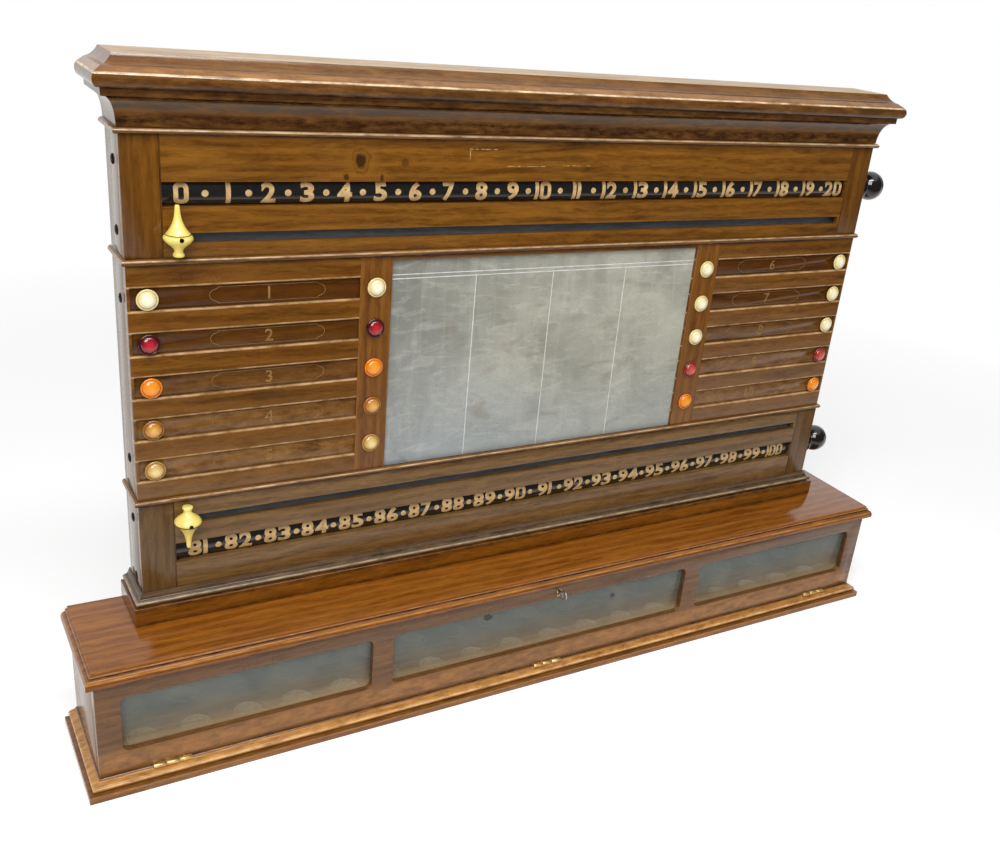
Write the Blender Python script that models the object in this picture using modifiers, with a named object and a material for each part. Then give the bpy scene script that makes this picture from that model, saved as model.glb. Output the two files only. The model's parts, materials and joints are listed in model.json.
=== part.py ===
"""Billiard scoreboard on a glazed ball box, modelled as separate pieces at rest.

Metres, +Z up, the front faces -Y and the origin lies under the middle of the bounding box. Places
are written as (across, depth, up), where depth is counted forward from the flat back of the case.
"""

import math

import bmesh
import bpy
from mathutils import Matrix, Vector

# The whole object's height, which the middle section makes up
TOTAL_HEIGHT = 0.7925

# Clearances that the whole object shares
GAP = 0.0003
OVERRUN = 0.002
MERGE = 0.0001
END_CAPS = 2
SHARP_ANGLE = math.radians(35)

# Ball box: moulded base, walls and lid
LID_WIDTH = 1.2
LID_OVERHANG = 0.009
LID_THICKNESS = 0.017
LID_ROUND_RISE = 0.0025
LID_LEDGE_RISE = 0.011
LID_LEDGE_SETBACK = 0.0045
LID_FILLET_SETBACK = 0.008
LID_EDGE = 0.0004
BOX_DEPTH = 0.145
BOX_WALL_HEIGHT = 0.1274
BOX_END_THICKNESS = 0.012
BOX_BACK_THICKNESS = 0.009
BASE_HEIGHT = 0.021
BASE_PROJECTION = 0.0145
BASE_MEMBER_HEIGHT = 0.0094
BASE_EDGE = 0.001
BASE_BEAD_RADIUS = 0.004
BASE_BEAD_SETBACK = 0.0045

# Tray for the balls, with a shallow cup under each ball
TRAY_THICKNESS = 0.0107
CUP_PITCH = 0.063
CUP_RADIUS = 0.018
CUP_FLOOR_RADIUS = 0.01
CUP_DEPTH = 0.0045
CUP_ROW_SHARES = (0.25, 0.8)
CUPS_PER_ROW = 18
CUP_SIDES = 10

# Fall-front door with three panes
DOOR_THICKNESS = 0.018
DOOR_BOTTOM_GAP = 0.001
DOOR_TOP_GAP = 0.002
DOOR_BOTTOM_RAIL = 0.0294
DOOR_TOP_RAIL = 0.0222
DOOR_STILE = 0.0265
DOOR_MULLION = 0.0275
MIDDLE_WINDOW_WIDTH = 0.466
MIDDLE_WINDOW_SHIFT = -0.003
WINDOW_CORNER_RADIUS = 0.008
REBATE_LIP = 0.006
REBATE_SETBACK = 0.0087
PANE_THICKNESS = 0.003

# Butt hinges under the door
HINGE_LENGTH = 0.044
HINGE_END_DISTANCE = 0.08
HINGE_LEAF_THICKNESS = 0.0017
HINGE_LEAF_REACH = 0.0165
HINGE_AXIS_PROUD = 0.0025
HINGE_KNUCKLE_RADIUS = 0.0025
HINGE_MIDDLE_KNUCKLE = 0.0146
HINGE_PIN_RADIUS = 0.0012

# Lock, bolt and key
LOCK_X = 0.007
LOCK_WIDTH = 0.044
LOCK_DEPTH = 0.0097
LOCK_HEIGHT = 0.0188
LOCK_TOP_DROP = 0.0022
LOCK_WALL = 0.0012
BOLT_WIDTH = 0.006
BOLT_THICKNESS = 0.002
BOLT_REACH = 0.018
BOLT_HUB_RADIUS = 0.0042
BOLT_POCKET_MARGIN = 0.0012
KEY_DROP = 0.0108
KEY_SHANK_RADIUS = 0.0016
KEY_BIT_REACH = 0.0065
KEY_BIT_LENGTH = 0.0043
KEY_BIT_THICKNESS = 0.0016
KEY_BOW_RADIUS = 0.0052
KEY_BOW_WIRE_RADIUS = 0.0013
KEY_BOW_STEPS = (20, 8)
KEY_PROUD = 0.02
KEYHOLE_CLEARANCE = 0.0005

# Board: back, sides, fascias and the plinth that it stands on
BOARD_WIDTH = 1.036
BOARD_DEPTH = 0.063
BOARD_BACK_THICKNESS = 0.008
BOARD_SIDE_THICKNESS = 0.009
PLINTH_HEIGHT = 0.0231
PLINTH_MARGIN = 0.0026
PLINTH_EDGE = 0.0008
FASCIA_THICKNESS = 0.008
LOWER_FASCIA_HEIGHT = 0.128
UPPER_FASCIA_HEIGHT = 0.134
WINDOW_END_MARGIN = 0.039
WINDOW_HEIGHT = 0.025
LOWER_WINDOW_RISE = 0.0584
UPPER_WINDOW_RISE = 0.0686
SLOT_HEIGHT = 0.0105
SLOT_LEFT_MARGIN = 0.04
SLOT_RIGHT_MARGIN = 0.042
LOWER_SLOT_RISE = 0.0993
UPPER_SLOT_RISE = 0.0238

# Mouldings on the board
FOOT_PROJECTION = 0.01
FOOT_HEIGHT = 0.0136
BEAD_HEIGHT = 0.007
BEAD_PROJECTION = 0.0042
NECK_BEAD_PROJECTION = 0.0058
CORNICE_HEIGHT = 0.0672
CORNICE_PROJECTION = 0.0247
CORNICE_WALL = 0.014
CORNICE_TOP_WALL = 0.012

# Middle section: rails, slats, slate and stiles
MIDDLE_THICKNESS = 0.013
MIDDLE_BED_THICKNESS = 0.003
END_STRIP = 0.003
SLATS_PER_SIDE = 5
CHANNEL_CHAMFER = 0.0012
SLAT_FLANGE = 0.002
SLAT_FLANGE_THICKNESS = 0.0037
SLAT_THICKNESS = 0.0064
SLAT_LAP = 0.003
SLAT_TRAVEL = 0.03
SLATE_WIDTH = 0.447
SLATE_HEAD_ROOM = 0.0082
SLATE_THICKNESS = 0.0055
SLATE_RISE = 0.0015
SLATE_EDGE = 0.0006
STILE_WIDTH = 0.0391
STILE_THICKNESS = 0.0027

# Domed knobs on the slats and the stiles
KNOB_RIM = 0.0016
KNOB_DOME = 0.0049
KNOB_SPIGOT_RADIUS = 0.004
KNOB_SPIGOT_LENGTH = 0.0038
KNOB_END_MARGIN = 0.02
KNOB_SEAT = 0.0006
KNOB_STEPS = 16

# Number rollers and their knobs
ROLLER_RADIUS = 0.02
ROLLER_SETBACK = 0.024
ROLLER_END_GAP = 0.0006
JOURNAL_RADIUS = 0.005
JOURNAL_CLEARANCE = 0.0004
JOURNAL_END_WALL = 0.003
ROLLER_KNOB_RADIUS = 0.021
ROLLER_KNOB_LENGTH = 0.056
ROLLER_KNOB_SOCKET = 0.04
ROLLER_STEPS = 24

# Pointers that slide along the slots
POINTER_HEIGHT = 0.053
POINTER_RADIUS = 0.015
POINTER_REST_MARGIN = 0.05
POINTER_STEM_RADIUS = 0.004
CARRIAGE_WIDTH = 0.024
CARRIAGE_HEIGHT = 0.018
CARRIAGE_THICKNESS = 0.003
UPPER_POINTER_FOOT_GAP = 0.0148
LOWER_POINTER_FOOT_GAP = 0.0257
POINTER_STEPS = 18

# Shares of a moulding's own projection and height, and of a turned piece's radius and length; the
# share of the middle section's height from one slat to the next, of that pitch that a channel is
# high, and of a channel's height that a knob's radius is
SLAT_PITCH_SHARE = 0.17895
CHANNEL_HEIGHT_SHARE = 0.4857
KNOB_RADIUS_SHARE = 0.4852
LID_ROUND_FOOT_SHARE = 0.84
BASE_COVE_SHARES = ((0.42, 0.33), (0.15, 0.8))
FOOT_SHARES = (
    (0.88, 0.0), (1.0, 0.12), (1.0, 0.32), (0.88, 0.44),
    (0.62, 0.47), (0.45, 0.56), (0.35, 0.68), (0.32, 0.8), (0.24, 0.84), (0.24, 1.0),
)
CORNICE_COVE_SHARES = (0.06, 0.53, 0.425)
CORNICE_FILLET_SHARES = ((0.675, 0.44), (0.685, 0.545))
CORNICE_NOSE_SHARES = (0.77, 0.67, 0.23, 0.115)
CORNICE_TOP_SHARES = ((0.615, 0.835), (0.4, 0.87), (0.2, 0.935), (0.08, 1.0))
POINTER_SHARES = (
    (0.0, 1.0), (0.13, 0.99), (0.18, 0.92), (0.215, 0.82), (0.28, 0.73), (0.39, 0.64),
    (0.54, 0.555), (0.76, 0.465), (0.94, 0.41), (1.0, 0.37), (0.95, 0.32), (0.75, 0.26),
    (0.45, 0.19), (0.3, 0.12), (0.35, 0.06), (0.39, 0.03), (0.33, 0.0), (0.0, 0.0),
)
ROLLER_KNOB_NECK_SHARES = (0.57, 0.29)
ROLLER_KNOB_COLLAR_SHARES = (0.95, 0.16, 0.11)
ROLLER_KNOB_FOOT_SHARE = 0.7
DOME_RADIUS_SHARE = 0.84
RIM_SHARES = ((0.87, 0.9), (0.93, 1.3), (1.0, 0.85))

# Heights of the ball box, from the floor up
WALL_BOTTOM = BASE_HEIGHT + GAP
WALL_TOP = WALL_BOTTOM + BOX_WALL_HEIGHT
LID_BOTTOM = WALL_TOP + GAP
LID_TOP = LID_BOTTOM + LID_THICKNESS
TRAY_TOP = WALL_BOTTOM + TRAY_THICKNESS
DOOR_BOTTOM = BASE_HEIGHT + DOOR_BOTTOM_GAP
DOOR_TOP = LID_BOTTOM - DOOR_TOP_GAP
WINDOW_BOTTOM = DOOR_BOTTOM + DOOR_BOTTOM_RAIL
WINDOW_TOP = DOOR_TOP - DOOR_TOP_RAIL
HINGE_HEIGHT = (BASE_HEIGHT + DOOR_BOTTOM) / 2
KEY_HEIGHT = DOOR_TOP - KEY_DROP
BOLT_SWEEP = math.hypot(BOLT_REACH, BOLT_WIDTH / 2)

# Heights of the board, from the plinth up
PLINTH_BOTTOM = LID_TOP + GAP
PLINTH_TOP = PLINTH_BOTTOM + PLINTH_HEIGHT
BOARD_BOTTOM = PLINTH_TOP + GAP
LOWER_FASCIA_TOP = BOARD_BOTTOM + LOWER_FASCIA_HEIGHT
MIDDLE_BOTTOM = LOWER_FASCIA_TOP + GAP
CORNICE_BOTTOM = TOTAL_HEIGHT - CORNICE_HEIGHT
BOARD_TOP = CORNICE_BOTTOM - GAP
UPPER_FASCIA_BOTTOM = BOARD_TOP - UPPER_FASCIA_HEIGHT
MIDDLE_TOP = UPPER_FASCIA_BOTTOM - GAP
SLAT_PITCH = (MIDDLE_TOP - MIDDLE_BOTTOM) * SLAT_PITCH_SHARE
CHANNEL_HEIGHT = SLAT_PITCH * CHANNEL_HEIGHT_SHARE
KNOB_RADIUS = CHANNEL_HEIGHT * KNOB_RADIUS_SHARE
LOWER_ROLLER_HEIGHT = BOARD_BOTTOM + LOWER_WINDOW_RISE
UPPER_ROLLER_HEIGHT = UPPER_FASCIA_BOTTOM + UPPER_WINDOW_RISE
LOWER_SLOT_HEIGHT = BOARD_BOTTOM + LOWER_SLOT_RISE
UPPER_SLOT_HEIGHT = UPPER_FASCIA_BOTTOM + UPPER_SLOT_RISE

# Places across, measured from the middle
BOX_HALF = LID_WIDTH / 2 - LID_OVERHANG
BOX_INNER_HALF = BOX_HALF - BOX_END_THICKNESS
BOARD_HALF = BOARD_WIDTH / 2
BOARD_INNER_HALF = BOARD_HALF - BOARD_SIDE_THICKNESS
PLINTH_HALF = BOARD_HALF + FOOT_PROJECTION + PLINTH_MARGIN
SLATE_HALF = SLATE_WIDTH / 2
SLATE_OPENING_HALF = SLATE_HALF + GAP
STILE_INNER = SLATE_OPENING_HALF + GAP
STILE_OUTER = STILE_INNER + STILE_WIDTH
SLAT_OUTER = BOARD_HALF - END_STRIP - GAP
SLAT_INNER = STILE_OUTER - SLAT_LAP
SLAT_KNOB_X = BOARD_HALF - KNOB_END_MARGIN
STILE_KNOB_X = (STILE_INNER + STILE_OUTER) / 2
HINGE_OFFSET = BOX_HALF - HINGE_END_DISTANCE
POINTER_X = POINTER_REST_MARGIN - BOARD_HALF

# Depths, forward from the back
DOOR_BACK = BOX_DEPTH - DOOR_THICKNESS
BOX_INNER_FRONT = DOOR_BACK - GAP
PANE_FRONT = BOX_DEPTH - REBATE_SETBACK - GAP
PANE_BACK = PANE_FRONT - PANE_THICKNESS
HINGE_DEPTH = BOX_DEPTH + HINGE_AXIS_PROUD
KEY_FRONT = BOX_DEPTH + KEY_PROUD
FASCIA_BACK = BOARD_DEPTH - FASCIA_THICKNESS
MIDDLE_BACK = BOARD_DEPTH - MIDDLE_THICKNESS
BED_FRONT = MIDDLE_BACK + MIDDLE_BED_THICKNESS
SLAT_BACK = BED_FRONT + GAP
SLAT_FRONT = SLAT_BACK + SLAT_THICKNESS
STILE_SEAT = BOARD_DEPTH - STILE_THICKNESS - GAP
ROLLER_DEPTH = BOARD_DEPTH - ROLLER_SETBACK
POINTER_DEPTH = BOARD_DEPTH + POINTER_RADIUS + GAP
LOCK_FRONT = DOOR_BACK - GAP
LOCK_BACK = LOCK_FRONT - LOCK_DEPTH
BOLT_BACK = LOCK_BACK + LOCK_WALL + GAP
BACK_Y = KEY_FRONT / 2

FACING = {
    "front": (math.pi / 2, 0, 0),
    "right": (0, math.pi / 2, 0),
    "up": (0, 0, 0),
    "down": (math.pi, 0, 0),
}

PARTS = bpy.data.collections.new("billiard_scoreboard")
CUTTERS = bpy.data.collections.new("cutters")


def place(x, depth, z):
    """The point in the scene for a place across, forward from the back and up."""
    return Vector((x, BACK_Y - depth, z))


def material(name, colour, roughness, metallic=0.0, alpha=1.0):
    made = bpy.data.materials.new(name)
    made.use_nodes = True
    shader = made.node_tree.nodes["Principled BSDF"]
    shader.inputs["Base Color"].default_value = (*colour, 1)
    shader.inputs["Roughness"].default_value = roughness
    shader.inputs["Metallic"].default_value = metallic
    shader.inputs["Alpha"].default_value = alpha
    made.diffuse_color = (*colour, alpha)
    return made


def add(name, mesh, finish, location):
    """Puts a mesh in the scene: with a finish it is a piece, and without one it shapes another."""
    obj = bpy.data.objects.new(name, mesh)
    obj.location = location
    if finish:
        mesh.materials.append(finish)
        PARTS.objects.link(obj)
    else:
        obj.hide_render = True
        obj.display_type = "WIRE"
        CUTTERS.objects.link(obj)
    return obj


def from_bmesh(bm, name, finish, location):
    bmesh.ops.recalc_face_normals(bm, faces=bm.faces)
    mesh = bpy.data.meshes.new(name)
    bm.to_mesh(mesh)
    bm.free()
    return add(name, mesh, finish, location)


def box(name, x, depth, z, finish=None):
    """A block between two places across, two depths and two heights."""
    low = place(x[0], depth[1], z[0])
    high = place(x[1], depth[0], z[1])
    bm = bmesh.new()
    bmesh.ops.create_cube(bm, size=1)
    bmesh.ops.scale(bm, vec=high - low, verts=bm.verts)
    return from_bmesh(bm, name, finish, (low + high) / 2)


def cylinder(name, radius, length, centre, facing, sides, finish=None):
    """A round bar of some length about its centre."""
    bm = bmesh.new()
    bmesh.ops.create_cone(
        bm, cap_ends=True, segments=sides, radius1=radius, radius2=radius, depth=length
    )
    obj = from_bmesh(bm, name, finish, centre)
    obj.rotation_euler = FACING[facing]
    return obj


def torus(name, radius, wire_radius, steps, centre, facing):
    """A round ring of wire about its centre."""
    bpy.ops.mesh.primitive_torus_add(
        major_radius=radius, minor_radius=wire_radius, major_segments=steps[0],
        minor_segments=steps[1],
    )
    ring = bpy.context.object
    obj = add(name, ring.data, None, centre)
    obj.rotation_euler = FACING[facing]
    bpy.data.objects.remove(ring)
    return obj


def arc(centre, radii, start, end, steps):
    """Points of an elliptical arc between two angles in degrees, both ends included."""
    turns = [math.radians(start + (end - start) * i / steps) for i in range(steps + 1)]
    return [
        (centre[0] + radii[0] * math.cos(turn), centre[1] + radii[1] * math.sin(turn))
        for turn in turns
    ]


def scaled(shares, width, height):
    """Outline points from shares of a width and a height."""
    return [(share * width, rise * height) for share, rise in shares]


def swept(name, sections, finish=None):
    """A solid through several placings of one closed outline, in scene coordinates."""
    bm = bmesh.new()
    corners = [bm.verts.new(point) for point in sections[0]]
    cap = bm.faces.new(corners)
    for section in sections[1:]:
        made = bmesh.ops.extrude_face_region(bm, geom=[cap])["geom"]
        if len(bm.faces) > len(corners) + END_CAPS:
            bm.faces.remove(cap)
        cap = next(item for item in made if isinstance(item, bmesh.types.BMFace))
        fresh = list(cap.verts)
        corners = [min(fresh, key=lambda v, c=c: (v.co - c.co).length) for c in corners]
        for corner, point in zip(corners, section):
            corner.co = point
    return from_bmesh(bm, name, finish, (0, 0, 0))


def moulded_block(name, profile, half, front, bottom, finish):
    """A block with a flat back whose front and ends follow a profile of (projection, rise)."""
    sections = []
    for projection, rise in profile:
        x, depth, z = half + projection, front + projection, bottom + rise
        corners = ((-x, 0, z), (-x, depth, z), (x, depth, z), (x, 0, z))
        sections.append([place(*corner) for corner in corners])
    return swept(name, sections, finish)


def moulded_strip(name, profile, half, front, bottom, finish):
    """A strip of (projection, rise) profile round the front and both ends, mitred at the corners."""
    rounds = ((-1, 0), (-1, 1), (1, 1), (1, 0))
    sections = [
        [place(side * (half + p), reach * (front + p), bottom + rise) for p, rise in profile]
        for side, reach in rounds
    ]
    return swept(name, sections, finish)


def bar(name, outline, x, finish=None):
    """A straight bar across the board with a (depth, height) outline."""
    return swept(name, [[place(end, *point) for point in outline] for end in x], finish)


def plate(name, outline, depth, finish=None):
    """A flat piece facing forward with an (across, height) outline."""
    return swept(name, [[place(x, end, z) for x, z in outline] for end in depth], finish)


def rounded_rectangle(x, z, radius, steps):
    """The outline of a rectangle with rounded corners."""
    corners = (
        (x[1] - radius, z[1] - radius, 0), (x[0] + radius, z[1] - radius, 90),
        (x[0] + radius, z[0] + radius, 180), (x[1] - radius, z[0] + radius, 270),
    )
    points = []
    for across, up, start in corners:
        points += arc((across, up), (radius, radius), start, start + 90, steps)
    return points


def turned(name, profile, centre, facing, steps, finish=None):
    """A turned piece: the (radius, height) profile runs from its top to its bottom."""
    bm = bmesh.new()
    points = [bm.verts.new((radius, 0, height)) for radius, height in profile]
    for upper, lower in zip(points, points[1:]):
        bm.edges.new((upper, lower))
    mesh = bpy.data.meshes.new(name)
    bm.to_mesh(mesh)
    bm.free()
    obj = add(name, mesh, finish, centre)
    obj.rotation_euler = FACING[facing]
    screw = obj.modifiers.new("turning", "SCREW")
    screw.steps = screw.render_steps = steps
    screw.use_merge_vertices = True
    screw.merge_threshold = MERGE
    return obj


def bevel(obj, width):
    """Breaks the sharp edges of a piece."""
    modifier = obj.modifiers.new("worn_edge", "BEVEL")
    modifier.width = width
    modifier.segments = 1


def combine(obj, other, operation):
    modifier = obj.modifiers.new(other.name, "BOOLEAN")
    modifier.operation = operation
    modifier.solver = "EXACT"
    modifier.object = other


def cut(obj, *cutters):
    for cutter in cutters:
        combine(obj, cutter, "DIFFERENCE")


def join(obj, *additions):
    for addition in additions:
        combine(obj, addition, "UNION")


def set_origin(obj, point):
    """Moves a piece's origin without moving its shape."""
    obj.data.transform(Matrix.Translation(obj.location - point))
    obj.location = point


def hang(parent, *children):
    """Parents pieces where they stand."""
    for child in children:
        child.parent = parent
        child.matrix_parent_inverse = parent.matrix_basis.inverted()


def pivot(name, point):
    """An empty on a joint's axis, which carries the pieces that turn about it."""
    empty = bpy.data.objects.new(name, None)
    empty.location = point
    empty.empty_display_size = HINGE_LENGTH
    PARTS.objects.link(empty)
    return empty


def round_off(obj):
    """Shades a round piece smooth, with sharp turned edges kept."""
    graph = bpy.context.evaluated_depsgraph_get()
    obj.data = bpy.data.meshes.new_from_object(obj.evaluated_get(graph))
    obj.data.name = obj.name
    obj.modifiers.clear()
    obj.data.shade_smooth()
    obj.data.set_sharp_from_angle(angle=SHARP_ANGLE)


def make_box(wood):
    """The moulded base, the walls and the lid of the ball box."""
    bead_setback = BASE_PROJECTION - BASE_BEAD_SETBACK - BASE_BEAD_RADIUS
    bead_rise = BASE_MEMBER_HEIGHT + BASE_BEAD_RADIUS
    bead_radii = (BASE_BEAD_RADIUS, BASE_BEAD_RADIUS)
    cove_rise = bead_rise + BASE_BEAD_RADIUS
    base_profile = [
        (BASE_PROJECTION - BASE_EDGE, 0),
        (BASE_PROJECTION, BASE_EDGE),
        (BASE_PROJECTION, BASE_MEMBER_HEIGHT - BASE_EDGE),
        (BASE_PROJECTION - BASE_EDGE, BASE_MEMBER_HEIGHT),
    ]
    base_profile += arc((bead_setback, bead_rise), bead_radii, -70, 90, 6)
    for share, rise in BASE_COVE_SHARES:
        base_profile.append((bead_setback * share, cove_rise + (BASE_HEIGHT - cove_rise) * rise))
    base_profile.append((0, BASE_HEIGHT))
    base = moulded_block("box_base", base_profile, BOX_HALF, BOX_DEPTH, 0, wood)

    walls = (WALL_BOTTOM, WALL_TOP)
    back_x = BOX_INNER_HALF - GAP
    box("box_back", (-back_x, back_x), (0, BOX_BACK_THICKNESS), walls, wood)
    box("box_left_end", (-BOX_HALF, -BOX_INNER_HALF), (0, BOX_INNER_FRONT), walls, wood)
    box("box_right_end", (BOX_INNER_HALF, BOX_HALF), (0, BOX_INNER_FRONT), walls, wood)

    ledge = LID_OVERHANG - LID_LEDGE_SETBACK
    fillet = LID_OVERHANG - LID_FILLET_SETBACK
    lid_profile = [(LID_OVERHANG * LID_ROUND_FOOT_SHARE, 0)]
    lid_profile += arc(
        (ledge, LID_ROUND_RISE), (LID_LEDGE_SETBACK, LID_LEDGE_RISE - LID_ROUND_RISE), 0, 80, 6
    )
    lid_profile += [
        (fillet, LID_LEDGE_RISE),
        (fillet, LID_THICKNESS - LID_EDGE),
        (fillet - LID_EDGE, LID_THICKNESS),
    ]
    lid = moulded_block("box_lid", lid_profile, BOX_HALF, BOX_DEPTH, LID_BOTTOM, wood)
    swing = math.sqrt(BOLT_SWEEP**2 - (LID_BOTTOM - KEY_HEIGHT) ** 2)
    pocket = box(
        "bolt_pocket_cutter",
        (LOCK_X - BOLT_WIDTH / 2 - BOLT_POCKET_MARGIN, LOCK_X + swing + BOLT_POCKET_MARGIN),
        (BOLT_BACK - BOLT_POCKET_MARGIN, BOLT_BACK + BOLT_THICKNESS + BOLT_POCKET_MARGIN),
        (LID_BOTTOM - OVERRUN, KEY_HEIGHT + BOLT_SWEEP + BOLT_POCKET_MARGIN),
    )
    cut(lid, pocket)
    return base


def make_tray(wood):
    """The tray on the floor of the box, with two rows of cups."""
    tray_x = BOX_INNER_HALF - GAP
    depth = (BOX_BACK_THICKNESS + GAP, BOX_INNER_FRONT)
    tray = box("ball_tray", (-tray_x, tray_x), depth, (WALL_BOTTOM, TRAY_TOP), wood)
    slope = (CUP_RADIUS - CUP_FLOOR_RADIUS) / CUP_DEPTH
    bm = bmesh.new()
    for share in CUP_ROW_SHARES:
        for i in range(CUPS_PER_ROW):
            x = (i - (CUPS_PER_ROW - 1) / 2) * CUP_PITCH
            row = depth[0] + (depth[1] - depth[0]) * share
            middle = place(x, row, TRAY_TOP + (OVERRUN - CUP_DEPTH) / 2)
            bmesh.ops.create_cone(
                bm, cap_ends=True, segments=CUP_SIDES,
                radius1=CUP_FLOOR_RADIUS, radius2=CUP_RADIUS + OVERRUN * slope,
                depth=CUP_DEPTH + OVERRUN, matrix=Matrix.Translation(middle),
            )
    cut(tray, from_bmesh(bm, "cup_cutter", None, (0, 0, 0)))


def door_windows():
    """The three window openings of the door as (left, right) places."""
    middle_left = MIDDLE_WINDOW_SHIFT - MIDDLE_WINDOW_WIDTH / 2
    middle_right = MIDDLE_WINDOW_SHIFT + MIDDLE_WINDOW_WIDTH / 2
    return {
        "left": (DOOR_STILE - BOX_HALF, middle_left - DOOR_MULLION),
        "middle": (middle_left, middle_right),
        "right": (middle_right + DOOR_MULLION, BOX_HALF - DOOR_STILE),
    }


def make_door(wood, glass):
    """The fall-front frame and its three panes, which turn about the hinge pins."""
    hinge_line = pivot("ball_box_door_pivot", place(0, HINGE_DEPTH, HINGE_HEIGHT))
    frame = box(
        "door_frame", (-BOX_HALF, BOX_HALF), (DOOR_BACK, BOX_DEPTH), (DOOR_BOTTOM, DOOR_TOP), wood
    )
    opening = (DOOR_BACK - OVERRUN, BOX_DEPTH + OVERRUN)
    for name, (left, right) in door_windows().items():
        outline = rounded_rectangle(
            (left, right), (WINDOW_BOTTOM, WINDOW_TOP), WINDOW_CORNER_RADIUS, 4
        )
        window = plate(f"{name}_window_cutter", outline, opening)
        rebate = box(
            f"{name}_rebate_cutter",
            (left - REBATE_LIP, right + REBATE_LIP),
            (DOOR_BACK - OVERRUN, BOX_DEPTH - REBATE_SETBACK),
            (WINDOW_BOTTOM - REBATE_LIP, WINDOW_TOP + REBATE_LIP),
        )
        cut(frame, window, rebate)
        lip = REBATE_LIP - GAP
        pane = box(
            f"door_glass_{name}",
            (left - lip, right + lip),
            (PANE_BACK, PANE_FRONT),
            (WINDOW_BOTTOM - lip, WINDOW_TOP + lip),
            glass,
        )
        hang(hinge_line, pane)
    hang(hinge_line, frame)
    return frame, hinge_line


def leaf_outline(side):
    """The (depth, height) outline of a hinge leaf rolled round its knuckle, below or above."""
    near = HINGE_HEIGHT + side * GAP
    far = near + side * HINGE_LEAF_THICKNESS
    start = math.degrees(math.asin((far - HINGE_HEIGHT) / HINGE_KNUCKLE_RADIUS))
    end = math.degrees(math.asin((near - HINGE_HEIGHT) / HINGE_KNUCKLE_RADIUS))
    radii = (HINGE_KNUCKLE_RADIUS, HINGE_KNUCKLE_RADIUS)
    roll = arc((HINGE_DEPTH, HINGE_HEIGHT), radii, side * 180 - start, -side * 180 - end, 12)
    reach = HINGE_DEPTH - HINGE_LEAF_REACH
    return roll + [(reach, near), (reach, far)]


def make_hinge(name, x, base, frame, hinge_line, brass):
    """One butt hinge: a leaf let into the base, a leaf let into the door, and the pin."""
    centre = place(x, HINGE_DEPTH, HINGE_HEIGHT)
    ends = (x - HINGE_LENGTH / 2, x + HINGE_LENGTH / 2)
    half_knuckle = HINGE_MIDDLE_KNUCKLE / 2
    behind = HINGE_DEPTH - HINGE_KNUCKLE_RADIUS - GAP
    beyond = HINGE_DEPTH + HINGE_KNUCKLE_RADIUS + OVERRUN
    knuckle_z = (
        HINGE_HEIGHT - HINGE_KNUCKLE_RADIUS - OVERRUN,
        HINGE_HEIGHT + HINGE_KNUCKLE_RADIUS + OVERRUN,
    )
    base_leaf = bar(f"hinge_{name}_base_leaf", leaf_outline(-1), ends, brass)
    room = half_knuckle + GAP
    notch = box(f"{name}_notch_cutter", (x - room, x + room), (behind, beyond), knuckle_z)
    cut(base_leaf, notch)
    pin_length = HINGE_LENGTH - HINGE_KNUCKLE_RADIUS
    join(
        base_leaf,
        cylinder(f"{name}_pin", HINGE_PIN_RADIUS, pin_length, centre, "right", 12),
    )

    door_leaf = bar(f"hinge_{name}_door_leaf", leaf_outline(1), ends, brass)
    for side, end in ((-1, ends[0]), (1, ends[1])):
        span = sorted((x + side * half_knuckle, end + side * OVERRUN))
        cut(door_leaf, box(f"{name}_end_cutter_{side}", span, (behind, beyond), knuckle_z))
    bore_radius = HINGE_PIN_RADIUS + GAP
    cut(
        door_leaf,
        cylinder(f"{name}_bore_cutter", bore_radius, HINGE_LENGTH, centre, "right", 12),
    )
    hang(hinge_line, door_leaf)
    for leaf in (base_leaf, door_leaf):
        set_origin(leaf, centre)

    mortise_x = (ends[0] - GAP, ends[1] + GAP)
    mortise_back = HINGE_DEPTH - HINGE_LEAF_REACH - GAP
    leaf_room = 2 * GAP + HINGE_LEAF_THICKNESS
    low = box(
        f"{name}_base_mortise_cutter", mortise_x, (mortise_back, HINGE_DEPTH),
        (HINGE_HEIGHT - leaf_room, BASE_HEIGHT + OVERRUN),
    )
    high = box(
        f"{name}_door_mortise_cutter", mortise_x, (mortise_back, HINGE_DEPTH),
        (DOOR_BOTTOM - OVERRUN, HINGE_HEIGHT + leaf_room),
    )
    barrel = cylinder(
        f"{name}_barrel_cutter", HINGE_KNUCKLE_RADIUS + GAP, HINGE_LENGTH + 2 * GAP,
        centre, "right", 16,
    )
    cut(base, low, barrel)
    cut(frame, high, barrel)


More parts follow.
